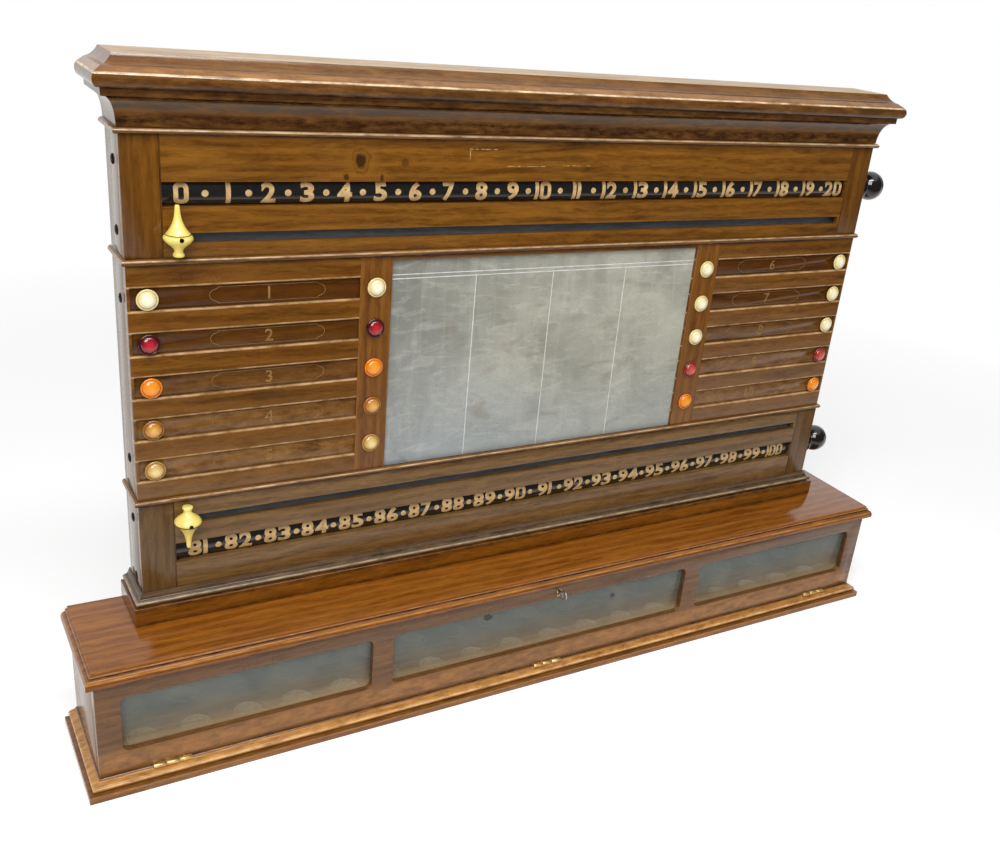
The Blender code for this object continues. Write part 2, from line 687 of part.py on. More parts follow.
def make_lock(frame, hinge_line, steel, brass):
    """The lock on the back of the door, with the bolt that its key turns up behind the lid."""
    centre = place(LOCK_X, LOCK_FRONT, KEY_HEIGHT)
    top = DOOR_TOP - LOCK_TOP_DROP
    case = box(
        "lock_case",
        (LOCK_X - LOCK_WIDTH / 2, LOCK_X + LOCK_WIDTH / 2),
        (LOCK_BACK, LOCK_FRONT),
        (top - LOCK_HEIGHT, top),
        steel,
    )
    bolt_front = BOLT_BACK + BOLT_THICKNESS
    shoulder = math.degrees(math.asin(BOLT_WIDTH / 2 / BOLT_HUB_RADIUS))
    outline = arc(
        (LOCK_X, KEY_HEIGHT), (BOLT_HUB_RADIUS, BOLT_HUB_RADIUS), shoulder, 360 - shoulder, 16
    )
    outline += [
        (LOCK_X + BOLT_REACH, KEY_HEIGHT - BOLT_WIDTH / 2),
        (LOCK_X + BOLT_REACH, KEY_HEIGHT + BOLT_WIDTH / 2),
    ]
    bolt = plate("lock_bolt", outline, (BOLT_BACK, bolt_front), brass)
    channel = box(
        "bolt_channel_cutter",
        (LOCK_X - BOLT_HUB_RADIUS - GAP, LOCK_X + BOLT_SWEEP + GAP),
        (BOLT_BACK - GAP, bolt_front + GAP),
        (KEY_HEIGHT - BOLT_HUB_RADIUS - GAP, top + OVERRUN),
    )
    bit_room = KEY_BIT_REACH + KEYHOLE_CLEARANCE
    chamber_depth = LOCK_FRONT - bolt_front
    chamber = cylinder(
        "bit_chamber_cutter", bit_room, chamber_depth + OVERRUN,
        place(LOCK_X, bolt_front + (chamber_depth + OVERRUN) / 2, KEY_HEIGHT), "front", 24,
    )
    cut(case, channel, chamber)

    tip = bolt_front + GAP
    bow_centre = KEY_FRONT - KEY_BOW_RADIUS - KEY_BOW_WIRE_RADIUS
    shank_end = bow_centre - KEY_BOW_RADIUS
    key = cylinder(
        "key", KEY_SHANK_RADIUS, shank_end - tip,
        place(LOCK_X, (shank_end + tip) / 2, KEY_HEIGHT), "front", 12, steel,
    )
    bit = box(
        "key_bit",
        (LOCK_X - KEY_BIT_THICKNESS / 2, LOCK_X + KEY_BIT_THICKNESS / 2),
        (tip + KEYHOLE_CLEARANCE, tip + KEYHOLE_CLEARANCE + KEY_BIT_LENGTH),
        (KEY_HEIGHT - KEY_BIT_REACH, KEY_HEIGHT),
    )
    bow = torus(
        "key_bow", KEY_BOW_RADIUS, KEY_BOW_WIRE_RADIUS, KEY_BOW_STEPS,
        place(LOCK_X, bow_centre, KEY_HEIGHT), "right",
    )
    join(key, bit, bow)

    slot = KEY_BIT_THICKNESS / 2 + KEYHOLE_CLEARANCE
    through = (DOOR_BACK - OVERRUN, BOX_DEPTH + OVERRUN)
    hole = cylinder(
        "keyhole_cutter", KEY_SHANK_RADIUS + KEYHOLE_CLEARANCE, through[1] - through[0],
        place(LOCK_X, (through[0] + through[1]) / 2, KEY_HEIGHT), "front", 16,
    )
    hole_slot = box(
        "keyhole_slot_cutter", (LOCK_X - slot, LOCK_X + slot), through,
        (KEY_HEIGHT - KEY_BIT_REACH - KEYHOLE_CLEARANCE, KEY_HEIGHT),
    )
    cut(frame, hole, hole_slot)
    set_origin(case, centre)
    set_origin(bolt, place(LOCK_X, BOLT_BACK, KEY_HEIGHT))
    hang(key, bolt)
    hang(hinge_line, case, key)


def make_board(wood, dark_wood):
    """The plinth, the back and the sides that everything on the board is fixed to."""
    plinth_depth = BOARD_DEPTH + FOOT_PROJECTION + PLINTH_MARGIN
    plinth = box(
        "plinth", (-PLINTH_HALF, PLINTH_HALF), (0, plinth_depth), (PLINTH_BOTTOM, PLINTH_TOP),
        dark_wood,
    )
    bevel(plinth, PLINTH_EDGE)
    height = (BOARD_BOTTOM, BOARD_TOP)
    back_x = BOARD_INNER_HALF - GAP
    box("board_back", (-back_x, back_x), (0, BOARD_BACK_THICKNESS), height, dark_wood)
    housing = (MIDDLE_BOTTOM - GAP, MIDDLE_TOP + GAP)
    bore = JOURNAL_RADIUS + JOURNAL_CLEARANCE
    for name, side, blind in (("left", -1, JOURNAL_END_WALL), ("right", 1, -OVERRUN)):
        x = sorted((side * BOARD_INNER_HALF, side * BOARD_HALF))
        wall = box(f"board_{name}_side", x, (0, FASCIA_BACK - GAP), height, wood)
        past = sorted((side * (BOARD_INNER_HALF - OVERRUN), side * (BOARD_HALF + OVERRUN)))
        notch = box(f"{name}_housing_cutter", past, (MIDDLE_BACK - GAP, BOARD_DEPTH), housing)
        cut(wall, notch)
        reach = sorted((side * (BOARD_INNER_HALF - OVERRUN), side * (BOARD_HALF - blind)))
        for level, z in (("lower", LOWER_ROLLER_HEIGHT), ("upper", UPPER_ROLLER_HEIGHT)):
            middle = place((reach[0] + reach[1]) / 2, ROLLER_DEPTH, z)
            length = reach[1] - reach[0]
            cut(wall, cylinder(f"{name}_{level}_bore_cutter", bore, length, middle, "right", 16))


def make_fascia(name, bottom, height, window_z, slot_z, wood):
    """A fascia with a long window for the roller and a narrow slot for the pointer."""
    fascia = box(
        f"{name}_fascia", (-BOARD_HALF, BOARD_HALF), (FASCIA_BACK, BOARD_DEPTH),
        (bottom, bottom + height), wood,
    )
    through = (FASCIA_BACK - OVERRUN, BOARD_DEPTH + OVERRUN)
    window_x = BOARD_HALF - WINDOW_END_MARGIN
    window = box(
        f"{name}_window_cutter", (-window_x, window_x), through,
        (window_z - WINDOW_HEIGHT / 2, window_z + WINDOW_HEIGHT / 2),
    )
    slot = box(
        f"{name}_slot_cutter", (SLOT_LEFT_MARGIN - BOARD_HALF, BOARD_HALF - SLOT_RIGHT_MARGIN),
        through, (slot_z - SLOT_HEIGHT / 2, slot_z + SLOT_HEIGHT / 2),
    )
    cut(fascia, window, slot)


def make_mouldings(wood):
    """The foot moulding, the three beads and the cornice."""
    foot = [(GAP, 0)] + scaled(FOOT_SHARES, FOOT_PROJECTION, FOOT_HEIGHT) + [(GAP, FOOT_HEIGHT)]
    moulded_strip("foot_moulding", foot, BOARD_HALF, BOARD_DEPTH, BOARD_BOTTOM, wood)
    beads = (
        ("lower_bead", MIDDLE_BOTTOM - BEAD_HEIGHT / 2, BEAD_PROJECTION),
        ("upper_bead", UPPER_FASCIA_BOTTOM - BEAD_HEIGHT / 2, BEAD_PROJECTION),
        ("neck_bead", BOARD_TOP - BEAD_HEIGHT, NECK_BEAD_PROJECTION),
    )
    for name, bottom, projection in beads:
        half_height = BEAD_HEIGHT / 2
        profile = arc((GAP, half_height), (projection - GAP, half_height), -90, 90, 8)
        moulded_strip(name, profile, BOARD_HALF, BOARD_DEPTH, bottom, wood)

    cove_start, cove_end, cove_rise = CORNICE_COVE_SHARES
    nose_x, nose_z, nose_width, nose_height = CORNICE_NOSE_SHARES
    cove = arc((cove_end, 0), (cove_end - cove_start, cove_rise), 180, 90, 8)
    nose = arc((nose_x, nose_z), (nose_width, nose_height), -80, 70, 8)
    shares = [*cove, *CORNICE_FILLET_SHARES, *nose, *CORNICE_TOP_SHARES]
    profile = scaled(shares, CORNICE_PROJECTION, CORNICE_HEIGHT)
    cornice = moulded_block("cornice", profile, BOARD_HALF, BOARD_DEPTH, CORNICE_BOTTOM, wood)
    hollow_x = BOARD_HALF - CORNICE_WALL
    hollow = box(
        "cornice_hollow_cutter", (-hollow_x, hollow_x), (CORNICE_WALL, BOARD_DEPTH - CORNICE_WALL),
        (CORNICE_BOTTOM - OVERRUN, CORNICE_BOTTOM + CORNICE_HEIGHT - CORNICE_TOP_WALL),
    )
    cut(cornice, hollow)


def slat_heights():
    """The middle height of each slat, from the top row to the bottom row."""
    centre = (MIDDLE_BOTTOM + MIDDLE_TOP) / 2
    return [
        centre + ((SLATS_PER_SIDE - 1) / 2 - row) * SLAT_PITCH for row in range(SLATS_PER_SIDE)
    ]


def knob_profile(foot):
    """A domed knob with a rim; the foot is the rest of the profile, under the board's face."""
    dome = arc((0, KNOB_RIM), (KNOB_RADIUS * DOME_RADIUS_SHARE, KNOB_DOME), 90, 0, 4)
    dome[0] = (0, KNOB_RIM + KNOB_DOME)
    return dome + scaled(RIM_SHARES, KNOB_RADIUS, KNOB_RIM) + foot


def make_middle(wood, slate_finish):
    """The grooved middle panel, the slate and the two stiles with their fixed knobs."""
    panel = box(
        "middle_panel", (-BOARD_HALF, BOARD_HALF), (MIDDLE_BACK, BOARD_DEPTH),
        (MIDDLE_BOTTOM, MIDDLE_TOP), wood,
    )
    beyond = BOARD_DEPTH + OVERRUN
    slate_z = (MIDDLE_BOTTOM + SLATE_RISE, MIDDLE_TOP - SLATE_HEAD_ROOM)
    recess = box(
        "slate_recess_cutter", (-SLATE_OPENING_HALF, SLATE_OPENING_HALF), (BED_FRONT, beyond),
        (slate_z[0] - GAP, slate_z[1] + GAP),
    )
    cut(panel, recess)
    opening = CHANNEL_HEIGHT / 2
    groove = opening + SLAT_FLANGE
    groove_front = SLAT_BACK + SLAT_FLANGE_THICKNESS + GAP
    chamfer_back = BOARD_DEPTH - CHANNEL_CHAMFER
    mouth = opening + CHANNEL_CHAMFER + OVERRUN
    half_outline = [
        (BED_FRONT, groove), (groove_front, groove), (groove_front, opening),
        (chamfer_back, opening), (beyond, mouth),
    ]
    channel_inner = SLAT_INNER - SLAT_TRAVEL - GAP
    for side, name in ((-1, "left"), (1, "right")):
        seat = sorted((side * SLATE_HALF, side * (STILE_OUTER + GAP)))
        stile_seat = box(
            f"{name}_stile_seat_cutter", seat, (STILE_SEAT, beyond),
            (MIDDLE_BOTTOM - OVERRUN, MIDDLE_TOP + OVERRUN),
        )
        cut(panel, stile_seat)
        span = sorted((side * channel_inner, side * (BOARD_HALF - END_STRIP)))
        for row, z in enumerate(slat_heights(), 1):
            outline = [(depth, z - rise) for depth, rise in half_outline]
            outline += [(depth, z + rise) for depth, rise in reversed(half_outline)]
            cut(panel, bar(f"{name}_channel_cutter_{row}", outline, span))

        stile_x = sorted((side * STILE_INNER, side * STILE_OUTER))
        stile = box(
            f"slate_stile_{name}", stile_x, (BOARD_DEPTH - STILE_THICKNESS, BOARD_DEPTH),
            (MIDDLE_BOTTOM, MIDDLE_TOP), wood,
        )
        foot = [(KNOB_RADIUS, -KNOB_SEAT), (0, -KNOB_SEAT)]
        for row, z in enumerate(slat_heights(), 1):
            centre = place(side * STILE_KNOB_X, BOARD_DEPTH, z)
            knob_name = f"{name}_stile_knob_{row}"
            join(stile, turned(knob_name, knob_profile(foot), centre, "front", KNOB_STEPS))

    slate = box("slate", (-SLATE_HALF, SLATE_HALF), (SLAT_BACK, SLAT_BACK + SLATE_THICKNESS),
                slate_z, slate_finish)
    bevel(slate, SLATE_EDGE)


def make_slats(slat_wood, knob_finishes):
    """The sliding slats in their grooves, each with a knob near its outer end."""
    opening = CHANNEL_HEIGHT / 2 - GAP
    flange = CHANNEL_HEIGHT / 2 + SLAT_FLANGE - GAP
    step = SLAT_BACK + SLAT_FLANGE_THICKNESS
    half_outline = [(SLAT_BACK, flange), (step, flange), (step, opening), (SLAT_FRONT, opening)]
    seat = BOARD_DEPTH - SLAT_FRONT - GAP
    spigot_end = -seat - KNOB_SPIGOT_LENGTH
    foot = [
        (KNOB_RADIUS, -seat), (KNOB_SPIGOT_RADIUS, -seat),
        (KNOB_SPIGOT_RADIUS, spigot_end), (0, spigot_end),
    ]
    for side, name in ((-1, "left"), (1, "right")):
        span = sorted((side * SLAT_INNER, side * SLAT_OUTER))
        for row, z in enumerate(slat_heights(), 1):
            outline = [(depth, z - rise) for depth, rise in half_outline]
            outline += [(depth, z + rise) for depth, rise in reversed(half_outline)]
            slat = bar(f"slat_{name}_{row}", outline, span, slat_wood)
            set_origin(slat, place(side * SLAT_KNOB_X, SLAT_FRONT, z))
            socket_bottom = BOARD_DEPTH + spigot_end - GAP
            socket_length = SLAT_FRONT - socket_bottom + OVERRUN
            cut(slat, cylinder(
                f"{name}_knob_socket_cutter_{row}", KNOB_SPIGOT_RADIUS + GAP, socket_length,
                place(side * SLAT_KNOB_X, socket_bottom + socket_length / 2, z), "front", 16,
            ))
            knob = turned(
                f"slat_knob_{name}_{row}", knob_profile(foot),
                place(side * SLAT_KNOB_X, BOARD_DEPTH, z), "front", KNOB_STEPS,
                knob_finishes[name][row - 1],
            )
            round_off(knob)
            hang(slat, knob)


def make_roller(name, z, black, ebony):
    """A number roller with a journal at each end, and the knob that turns it."""
    body = BOARD_HALF - WINDOW_END_MARGIN - ROLLER_END_GAP
    left_end = BOARD_HALF - JOURNAL_END_WALL - GAP
    right_end = BOARD_HALF + ROLLER_KNOB_SOCKET
    profile = [
        (0, right_end), (JOURNAL_RADIUS, right_end), (JOURNAL_RADIUS, body),
        (ROLLER_RADIUS, body), (ROLLER_RADIUS, -body),
        (JOURNAL_RADIUS, -body), (JOURNAL_RADIUS, -left_end), (0, -left_end),
    ]
    roller = turned(
        f"{name}_roller", profile, place(0, ROLLER_DEPTH, z), "right", ROLLER_STEPS, black
    )
    radius, length = ROLLER_KNOB_RADIUS, ROLLER_KNOB_LENGTH
    neck_share, neck_rise = ROLLER_KNOB_NECK_SHARES
    neck = radius * neck_share
    ball_end = -math.degrees(math.acos(neck_share))
    ball = arc((0, length - radius), (radius, radius), 90, ball_end, 8)
    ball[0] = (0, length)
    collar_share, collar_rise, collar_half = ROLLER_KNOB_COLLAR_SHARES
    collar_half_height = length * collar_half
    collar_radii = (radius * collar_share - neck, collar_half_height)
    collar = arc((neck, length * collar_rise), collar_radii, 75, -75, 6)
    socket = JOURNAL_RADIUS + GAP
    foot = radius * ROLLER_KNOB_FOOT_SHARE
    knob_profile_points = [
        *ball, (neck, length * neck_rise), *collar, (foot, 0), (socket, 0),
        (socket, ROLLER_KNOB_SOCKET), (0, ROLLER_KNOB_SOCKET),
    ]
    knob = turned(
        f"{name}_roller_knob", knob_profile_points,
        place(BOARD_HALF + GAP, ROLLER_DEPTH, z), "right", ROLLER_STEPS, ebony,
    )
    for piece in (roller, knob):
        round_off(piece)
    hang(roller, knob)


def make_pointer(name, slot_z, foot_gap, facing, ivory):
    """A turned pointer in front of the fascia, with its stem through the slot to a carriage."""
    turn = 1 if facing == "up" else -1
    foot_z = slot_z - turn * foot_gap
    pointer = turned(
        f"{name}_pointer", scaled(POINTER_SHARES, POINTER_RADIUS, POINTER_HEIGHT),
        place(POINTER_X, POINTER_DEPTH, foot_z), facing, POINTER_STEPS, ivory,
    )
    carriage_front = FASCIA_BACK - GAP
    carriage_back = carriage_front - CARRIAGE_THICKNESS
    stem_back = (carriage_front + carriage_back) / 2
    stem = cylinder(
        f"{name}_stem", POINTER_STEM_RADIUS, POINTER_DEPTH - stem_back,
        place(POINTER_X, (POINTER_DEPTH + stem_back) / 2, slot_z), "front", 12,
    )
    carriage = box(
        f"{name}_carriage",
        (POINTER_X - CARRIAGE_WIDTH / 2, POINTER_X + CARRIAGE_WIDTH / 2),
        (carriage_back, carriage_front),
        (slot_z - CARRIAGE_HEIGHT / 2, slot_z + CARRIAGE_HEIGHT / 2),
    )
    join(pointer, stem, carriage)
    return pointer


def main():
    for obj in list(bpy.data.objects):
        bpy.data.objects.remove(obj)
    for collection in (PARTS, CUTTERS):
        bpy.context.scene.collection.children.link(collection)
    CUTTERS.hide_render = True

    wood = material("mahogany", (0.19, 0.07, 0.02), 0.25)
    dark_wood = material("dark_mahogany", (0.08, 0.03, 0.012), 0.35)
    slat_wood = material("slat_wood", (0.11, 0.045, 0.012), 0.35)
    glass = material("glass", (0.75, 0.8, 0.76), 0.05, alpha=0.3)
    brass = material("brass", (0.72, 0.5, 0.2), 0.3, 1)
    steel = material("steel", (0.45, 0.44, 0.42), 0.35, 1)
    slate_finish = material("slate", (0.26, 0.28, 0.28), 0.7)
    black = material("roller_black", (0.012, 0.012, 0.012), 0.3)
    ebony = material("ebonised_wood", (0.015, 0.013, 0.012), 0.2)
    ivory = material("ivory", (0.9, 0.78, 0.28), 0.35)
    cream = material("cream", (0.9, 0.82, 0.6), 0.2)
    red = material("red", (0.55, 0.02, 0.03), 0.2)
    orange = material("orange", (0.88, 0.33, 0.03), 0.2)
    amber = material("amber", (0.7, 0.3, 0.05), 0.2)
    tan = material("tan", (0.85, 0.6, 0.25), 0.2)
    knob_finishes = {
        "left": (cream, red, orange, amber, tan),
        "right": (cream, cream, cream, red, orange),
    }

    base = make_box(wood)
    make_tray(dark_wood)
    frame, hinge_line = make_door(wood, glass)
    hinges = (("left", -HINGE_OFFSET), ("centre", 0), ("right", HINGE_OFFSET))
    for name, x in hinges:
        make_hinge(name, x, base, frame, hinge_line, brass)
    make_lock(frame, hinge_line, steel, brass)
    make_board(wood, dark_wood)
    make_fascia(
        "lower", BOARD_BOTTOM, LOWER_FASCIA_HEIGHT, LOWER_ROLLER_HEIGHT, LOWER_SLOT_HEIGHT, wood
    )
    make_fascia(
        "upper", UPPER_FASCIA_BOTTOM, UPPER_FASCIA_HEIGHT, UPPER_ROLLER_HEIGHT,
        UPPER_SLOT_HEIGHT, wood,
    )
    make_mouldings(wood)
    make_middle(wood, slate_finish)
    make_slats(slat_wood, knob_finishes)
    make_roller("lower", LOWER_ROLLER_HEIGHT, black, ebony)
    make_roller("upper", UPPER_ROLLER_HEIGHT, black, ebony)
    make_pointer("upper", UPPER_SLOT_HEIGHT, UPPER_POINTER_FOOT_GAP, "up", ivory)
    make_pointer("lower", LOWER_SLOT_HEIGHT, LOWER_POINTER_FOOT_GAP, "down", ivory)


main()
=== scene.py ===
"""The finished look of a billiard scoreboard on a glazed ball box, built around its frame.

Metres, +Z up, the front faces -Y. Every finished piece keeps its object at the origin.
"""

import json
import math

import bmesh
import bpy
import numpy as np
from mathutils import Matrix, Vector

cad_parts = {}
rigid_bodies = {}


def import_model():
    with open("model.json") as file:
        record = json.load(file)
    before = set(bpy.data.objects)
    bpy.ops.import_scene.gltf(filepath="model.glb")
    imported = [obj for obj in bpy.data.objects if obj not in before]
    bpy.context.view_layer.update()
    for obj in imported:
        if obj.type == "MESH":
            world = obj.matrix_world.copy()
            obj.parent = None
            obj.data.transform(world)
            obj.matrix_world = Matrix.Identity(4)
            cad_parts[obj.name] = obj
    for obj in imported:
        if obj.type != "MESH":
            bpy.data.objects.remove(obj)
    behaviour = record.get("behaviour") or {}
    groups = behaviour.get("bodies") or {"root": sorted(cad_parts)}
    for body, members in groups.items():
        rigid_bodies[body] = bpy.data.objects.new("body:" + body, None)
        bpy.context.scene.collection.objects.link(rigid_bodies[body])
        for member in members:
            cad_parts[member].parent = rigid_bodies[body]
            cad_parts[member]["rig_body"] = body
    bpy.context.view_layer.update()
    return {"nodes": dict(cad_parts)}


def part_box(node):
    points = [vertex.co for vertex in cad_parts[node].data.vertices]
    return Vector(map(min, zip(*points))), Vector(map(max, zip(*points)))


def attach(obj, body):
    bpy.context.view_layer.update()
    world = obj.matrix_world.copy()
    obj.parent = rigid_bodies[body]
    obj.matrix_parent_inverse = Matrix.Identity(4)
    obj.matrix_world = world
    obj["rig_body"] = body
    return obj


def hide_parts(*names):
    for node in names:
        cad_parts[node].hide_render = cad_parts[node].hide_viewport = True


bl_info = {
    "name": "Billiard scoreboard",
    "version": (1, 0, 0),
    "blender": (4, 5, 0),
    "location": "View3D > Sidebar > Scoreboard",
    "description": "Polished wood, number rollers, slate and glazed ball box of a billiard scoreboard",
    "category": "Object",
}

# The scene starts empty, and the frame gives every size that the looks are fitted to
for leftover in list(bpy.data.objects):
    bpy.data.objects.remove(leftover)

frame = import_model()

MERGE = 0.00002
ROLLERS = ("upper", "lower")
SIDES = (("left", -1), ("right", 1))
HINGES = ("left", "centre", "right")
ROWS = range(1, 6)
JOINT_X, JOINT_LINE = 0.4799, 0.0012
OPENINGS_END = 0.59
# How far the painted shade reaches in from a piece's upper and lower edges
EDGE_SHADE_REACH = 0.007
SCORE_HALF, SCORE_DEPTH = 0.0004, 0.0006
WELL_RADIUS, WELL_DEPTH, SCREW_SINK = 0.0065, 0.0024, 0.0018
OVERCUT = 0.001
SHALLOW = 0.0008
SLAT_NUMBER_X = 0.3685
KEY_DROP = 0.0065
UPRIGHT = (0, math.pi / 2, 0)


def span(node):
    """A node's low and high corner."""
    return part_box(node)


def middle(node):
    """The centre of a node's box."""
    low, high = span(node)
    return (low + high) / 2


def srgb(red, green, blue):
    """A colour from its values of 0 to 255 as they look on a screen."""
    linear = []
    for value in (red, green, blue):
        share = value / 255
        linear.append(share / 12.92 if share <= 0.04045 else ((share + 0.055) / 1.055) ** 2.4)
    return tuple(linear)


BOARD_LOW, BOARD_HIGH = span("upper_fascia")
FACE_Y = BOARD_LOW.y
BOARD_HALF = BOARD_HIGH.x
BACK_Y = span("board_back")[1].y
BACK_SCREWS = [(x, z) for x in (-0.46, -0.23, 0, 0.23, 0.46) for z in (0.21, 0.454, 0.705)]
SLOT_Z = {"upper": 0.6148, "lower": 0.289}
RUBBED, SCRATCH = srgb(178, 128, 74), srgb(206, 172, 112)


# Shader building blocks


def wire(tree, socket, value):
    """Feeds a socket from another one, or sets its own value."""
    if isinstance(value, bpy.types.NodeSocket):
        tree.links.new(value, socket)
    elif socket.type == "RGBA" and len(value) == 3:
        socket.default_value = (*value, 1)
    else:
        socket.default_value = value


def node(tree, kind, feeds=None, **settings):
    """A new node with its settings, and a value or a link for each named input."""
    made = tree.nodes.new(kind)
    for key, value in settings.items():
        setattr(made, key, value)
    for key, value in (feeds or {}).items():
        wire(tree, made.inputs[key], value)
    return made


def maths(tree, operation, *values, clamp=False):
    """One sum on numbers that may differ from spot to spot."""
    made = node(tree, "ShaderNodeMath", operation=operation, use_clamp=clamp)
    for socket, value in zip(made.inputs, values):
        wire(tree, socket, value)
    return made.outputs[0]


def times(tree, first, *others):
    """The product of several values."""
    for other in others:
        first = maths(tree, "MULTIPLY", first, other)
    return first


def off(tree, value, level):
    """How far a value lies from a level, either way."""
    return maths(tree, "ABSOLUTE", maths(tree, "SUBTRACT", value, level))


def blended(tree, share, first, second):
    """The first colour with a share of the second laid over it."""
    made = node(tree, "ShaderNodeMix", data_type="RGBA")
    for index, value in ((0, share), (6, first), (7, second)):
        wire(tree, made.inputs[index], value)
    return made.outputs[2]


def layered(tree, colour, *layers):
    """A colour with others laid over it in turn, each with its own share."""
    for share, tone in layers:
        colour = blended(tree, share, colour, tone)
    return colour


def levels(tree, value, low, high, start=0.0, end=1.0):
    """Stretches the values between low and high to a range of their own, and stops there."""
    feeds = {"Value": value, "From Min": low, "From Max": high, "To Min": start, "To Max": end}
    return node(tree, "ShaderNodeMapRange", feeds).outputs[0]


def stretched(tree, place, scale):
    """A place scaled by its own amount along each axis."""
    return node(tree, "ShaderNodeMapping", {"Vector": place, "Scale": scale}).outputs[0]


def split(tree, vector):
    """The three parts of a vector."""
    return node(tree, "ShaderNodeSeparateXYZ", {"Vector": vector}).outputs


def vectors(tree, operation, first, second=(0, 0, 0)):
    """One sum on vectors; a length comes out as a number."""
    made = node(tree, "ShaderNodeVectorMath", {0: first, 1: second}, operation=operation)
    return made.outputs["Value" if operation == "LENGTH" else "Vector"]


def far_from(tree, place, centre, reach, wander):
    """How many reaches a spot lies from a centre, its outline made uneven."""
    shares = tuple(1 / part for part in reach)
    gap = stretched(tree, vectors(tree, "SUBTRACT", place, centre), shares)
    return maths(tree, "ADD", vectors(tree, "LENGTH", gap), wander)


def noise(tree, place, scale, detail=3.0, roughness=0.55, distortion=0.0):
    """Soft random values of 0 to 1."""
    feeds = {
        "Vector": place, "Scale": scale, "Detail": detail, "Roughness": roughness,
        "Distortion": distortion,
    }
    return node(tree, "ShaderNodeTexNoise", feeds).outputs["Fac"]


def start_group(name, inputs, outputs):
    """An empty shader group with its named inputs and outputs."""
    tree = bpy.data.node_groups.new(name, "ShaderNodeTree")
    for label, kind, value in inputs:
        socket = tree.interface.new_socket(label, in_out="INPUT", socket_type=f"NodeSocket{kind}")
        if kind == "Color":
            socket.default_value = (*value, 1)
        else:
            socket.default_value = value
    for label, kind in outputs:
        tree.interface.new_socket(label, in_out="OUTPUT", socket_type=f"NodeSocket{kind}")
    return tree, tree.nodes.new("NodeGroupInput").outputs, tree.nodes.new("NodeGroupOutput").inputs


def grouped(tree, name, feeds):
    """The outputs of a shared group, fed with a finish's own values."""
    made = tree.nodes.new("ShaderNodeGroup")
    made.node_tree = bpy.data.node_groups[name]
    for key, value in feeds.items():
        wire(tree, made.inputs[key], value)
    return made.outputs


def make_polished_grain():
    """Long-grained wood with rings, streaks and open pores, its grain along X."""
    tree, feed, out = start_group(
        "polished_grain",
        [
            ("Place", "Vector", (0, 0, 0)),
            ("Dark", "Color", srgb(60, 30, 10)),
            ("Middle", "Color", srgb(110, 66, 24)),
            ("Light", "Color", srgb(150, 96, 40)),
            ("Figure", "Float", 0.5),
            ("Streaks", "Float", 0.5),
        ],
        [("Color", "Color"), ("Height", "Float")],
    )
    place = feed["Place"]
    cloud = noise(tree, stretched(tree, place, (6, 24, 24)), 1, 5, 0.62, 0.9)
    band = noise(tree, stretched(tree, place, (8, 60, 60)), 1, 6, 0.68, 1.1)
    fleck = noise(tree, stretched(tree, place, (55, 300, 300)), 1, 4, 0.65, 0.6)
    streak = noise(tree, stretched(tree, place, (24, 560, 560)), 1, 5, 0.68, 0.4)
    fibre = noise(tree, stretched(tree, place, (60, 1500, 1500)), 1, 3, 0.6)
    rings = node(
        tree, "ShaderNodeTexWave",
        {
            "Vector": stretched(tree, place, (0.22, 1, 1)), "Scale": 26, "Distortion": 5.5,
            "Detail": 3, "Detail Scale": 1.1, "Detail Roughness": 0.6,
        },
        wave_type="RINGS", rings_direction="X",
    ).outputs["Fac"]
    dark, light = feed["Dark"], feed["Light"]
    pores = levels(tree, fibre, 0.6, 0.72)
    wire(tree, out["Color"], layered(
        tree, blended(tree, levels(tree, band, 0.34, 0.66), dark, light),
        (levels(tree, cloud, 0.3, 0.7, 0.15, 0.85), feed["Middle"]),
        (levels(tree, cloud, 0.46, 0.26, 0, 0.5), dark),
        (levels(tree, fleck, 0.52, 0.68, 0, 0.45), dark),
        (levels(tree, fleck, 0.44, 0.3, 0, 0.3), light),
        (times(tree, levels(tree, rings, 0.35, 0.95), feed["Figure"]), light),
        (times(tree, levels(tree, streak, 0.48, 0.68), feed["Streaks"]), dark),
        (times(tree, pores, 0.55), dark),
    ))
    wire(tree, out["Height"], maths(tree, "ADD", times(tree, pores, -0.7), times(tree, streak, 0.5)))


def make_worn_arris():
    """How far a spot lies on a softened edge, broken up as handling wears it."""
    tree, feed, out = start_group(
        "worn_arris",
        [("Place", "Vector", (0, 0, 0)), ("Facing", "Vector", (0, 0, 1)), ("Amount", "Float", 0.6)],
        [("Mask", "Float"), ("Frontal", "Float")],
    )
    turned_in = node(
        tree, "ShaderNodeVectorTransform", {"Vector": feed["Facing"]},
        vector_type="NORMAL", convert_from="WORLD", convert_to="OBJECT",
    ).outputs[0]
    parts = split(tree, vectors(tree, "ABSOLUTE", turned_in))
    largest = maths(tree, "MAXIMUM", maths(tree, "MAXIMUM", parts[0], parts[1]), parts[2])
    slant = times(tree, levels(tree, largest, 0.995, 0.95), levels(tree, largest, 0.72, 0.78))
    rub = levels(tree, noise(tree, feed["Place"], 38, 3), 0.36, 0.62, 0.25, 1.0)
    wire(tree, out["Mask"], times(tree, slant, rub, feed["Amount"]))
    wire(tree, out["Frontal"], parts[1])


def make_varnish():
    """Old varnish: smeared sheen and a slight ripple."""
    tree, feed, out = start_group(
        "varnish",
        [("Place", "Vector", (0, 0, 0)), ("Sheen", "Float", 0.2), ("Smears", "Float", 0.15)],
        [("Roughness", "Float"), ("Height", "Float")],
    )
    smear = noise(tree, stretched(tree, feed["Place"], (7, 18, 18)), 1, 4, 0.6, 0.8)
    speck = noise(tree, feed["Place"], 420, 2)
    lift = times(tree, levels(tree, smear, 0.4, 0.7), feed["Smears"])
    fine = levels(tree, speck, 0.3, 0.8, -0.03, 0.05)
    total = maths(tree, "ADD", maths(tree, "ADD", feed["Sheen"], lift), fine, clamp=True)
    wire(tree, out["Roughness"], total)
    ripple = noise(tree, feed["Place"], 60, 2)
    wire(tree, out["Height"], maths(tree, "ADD", ripple, times(tree, speck, 0.05)))


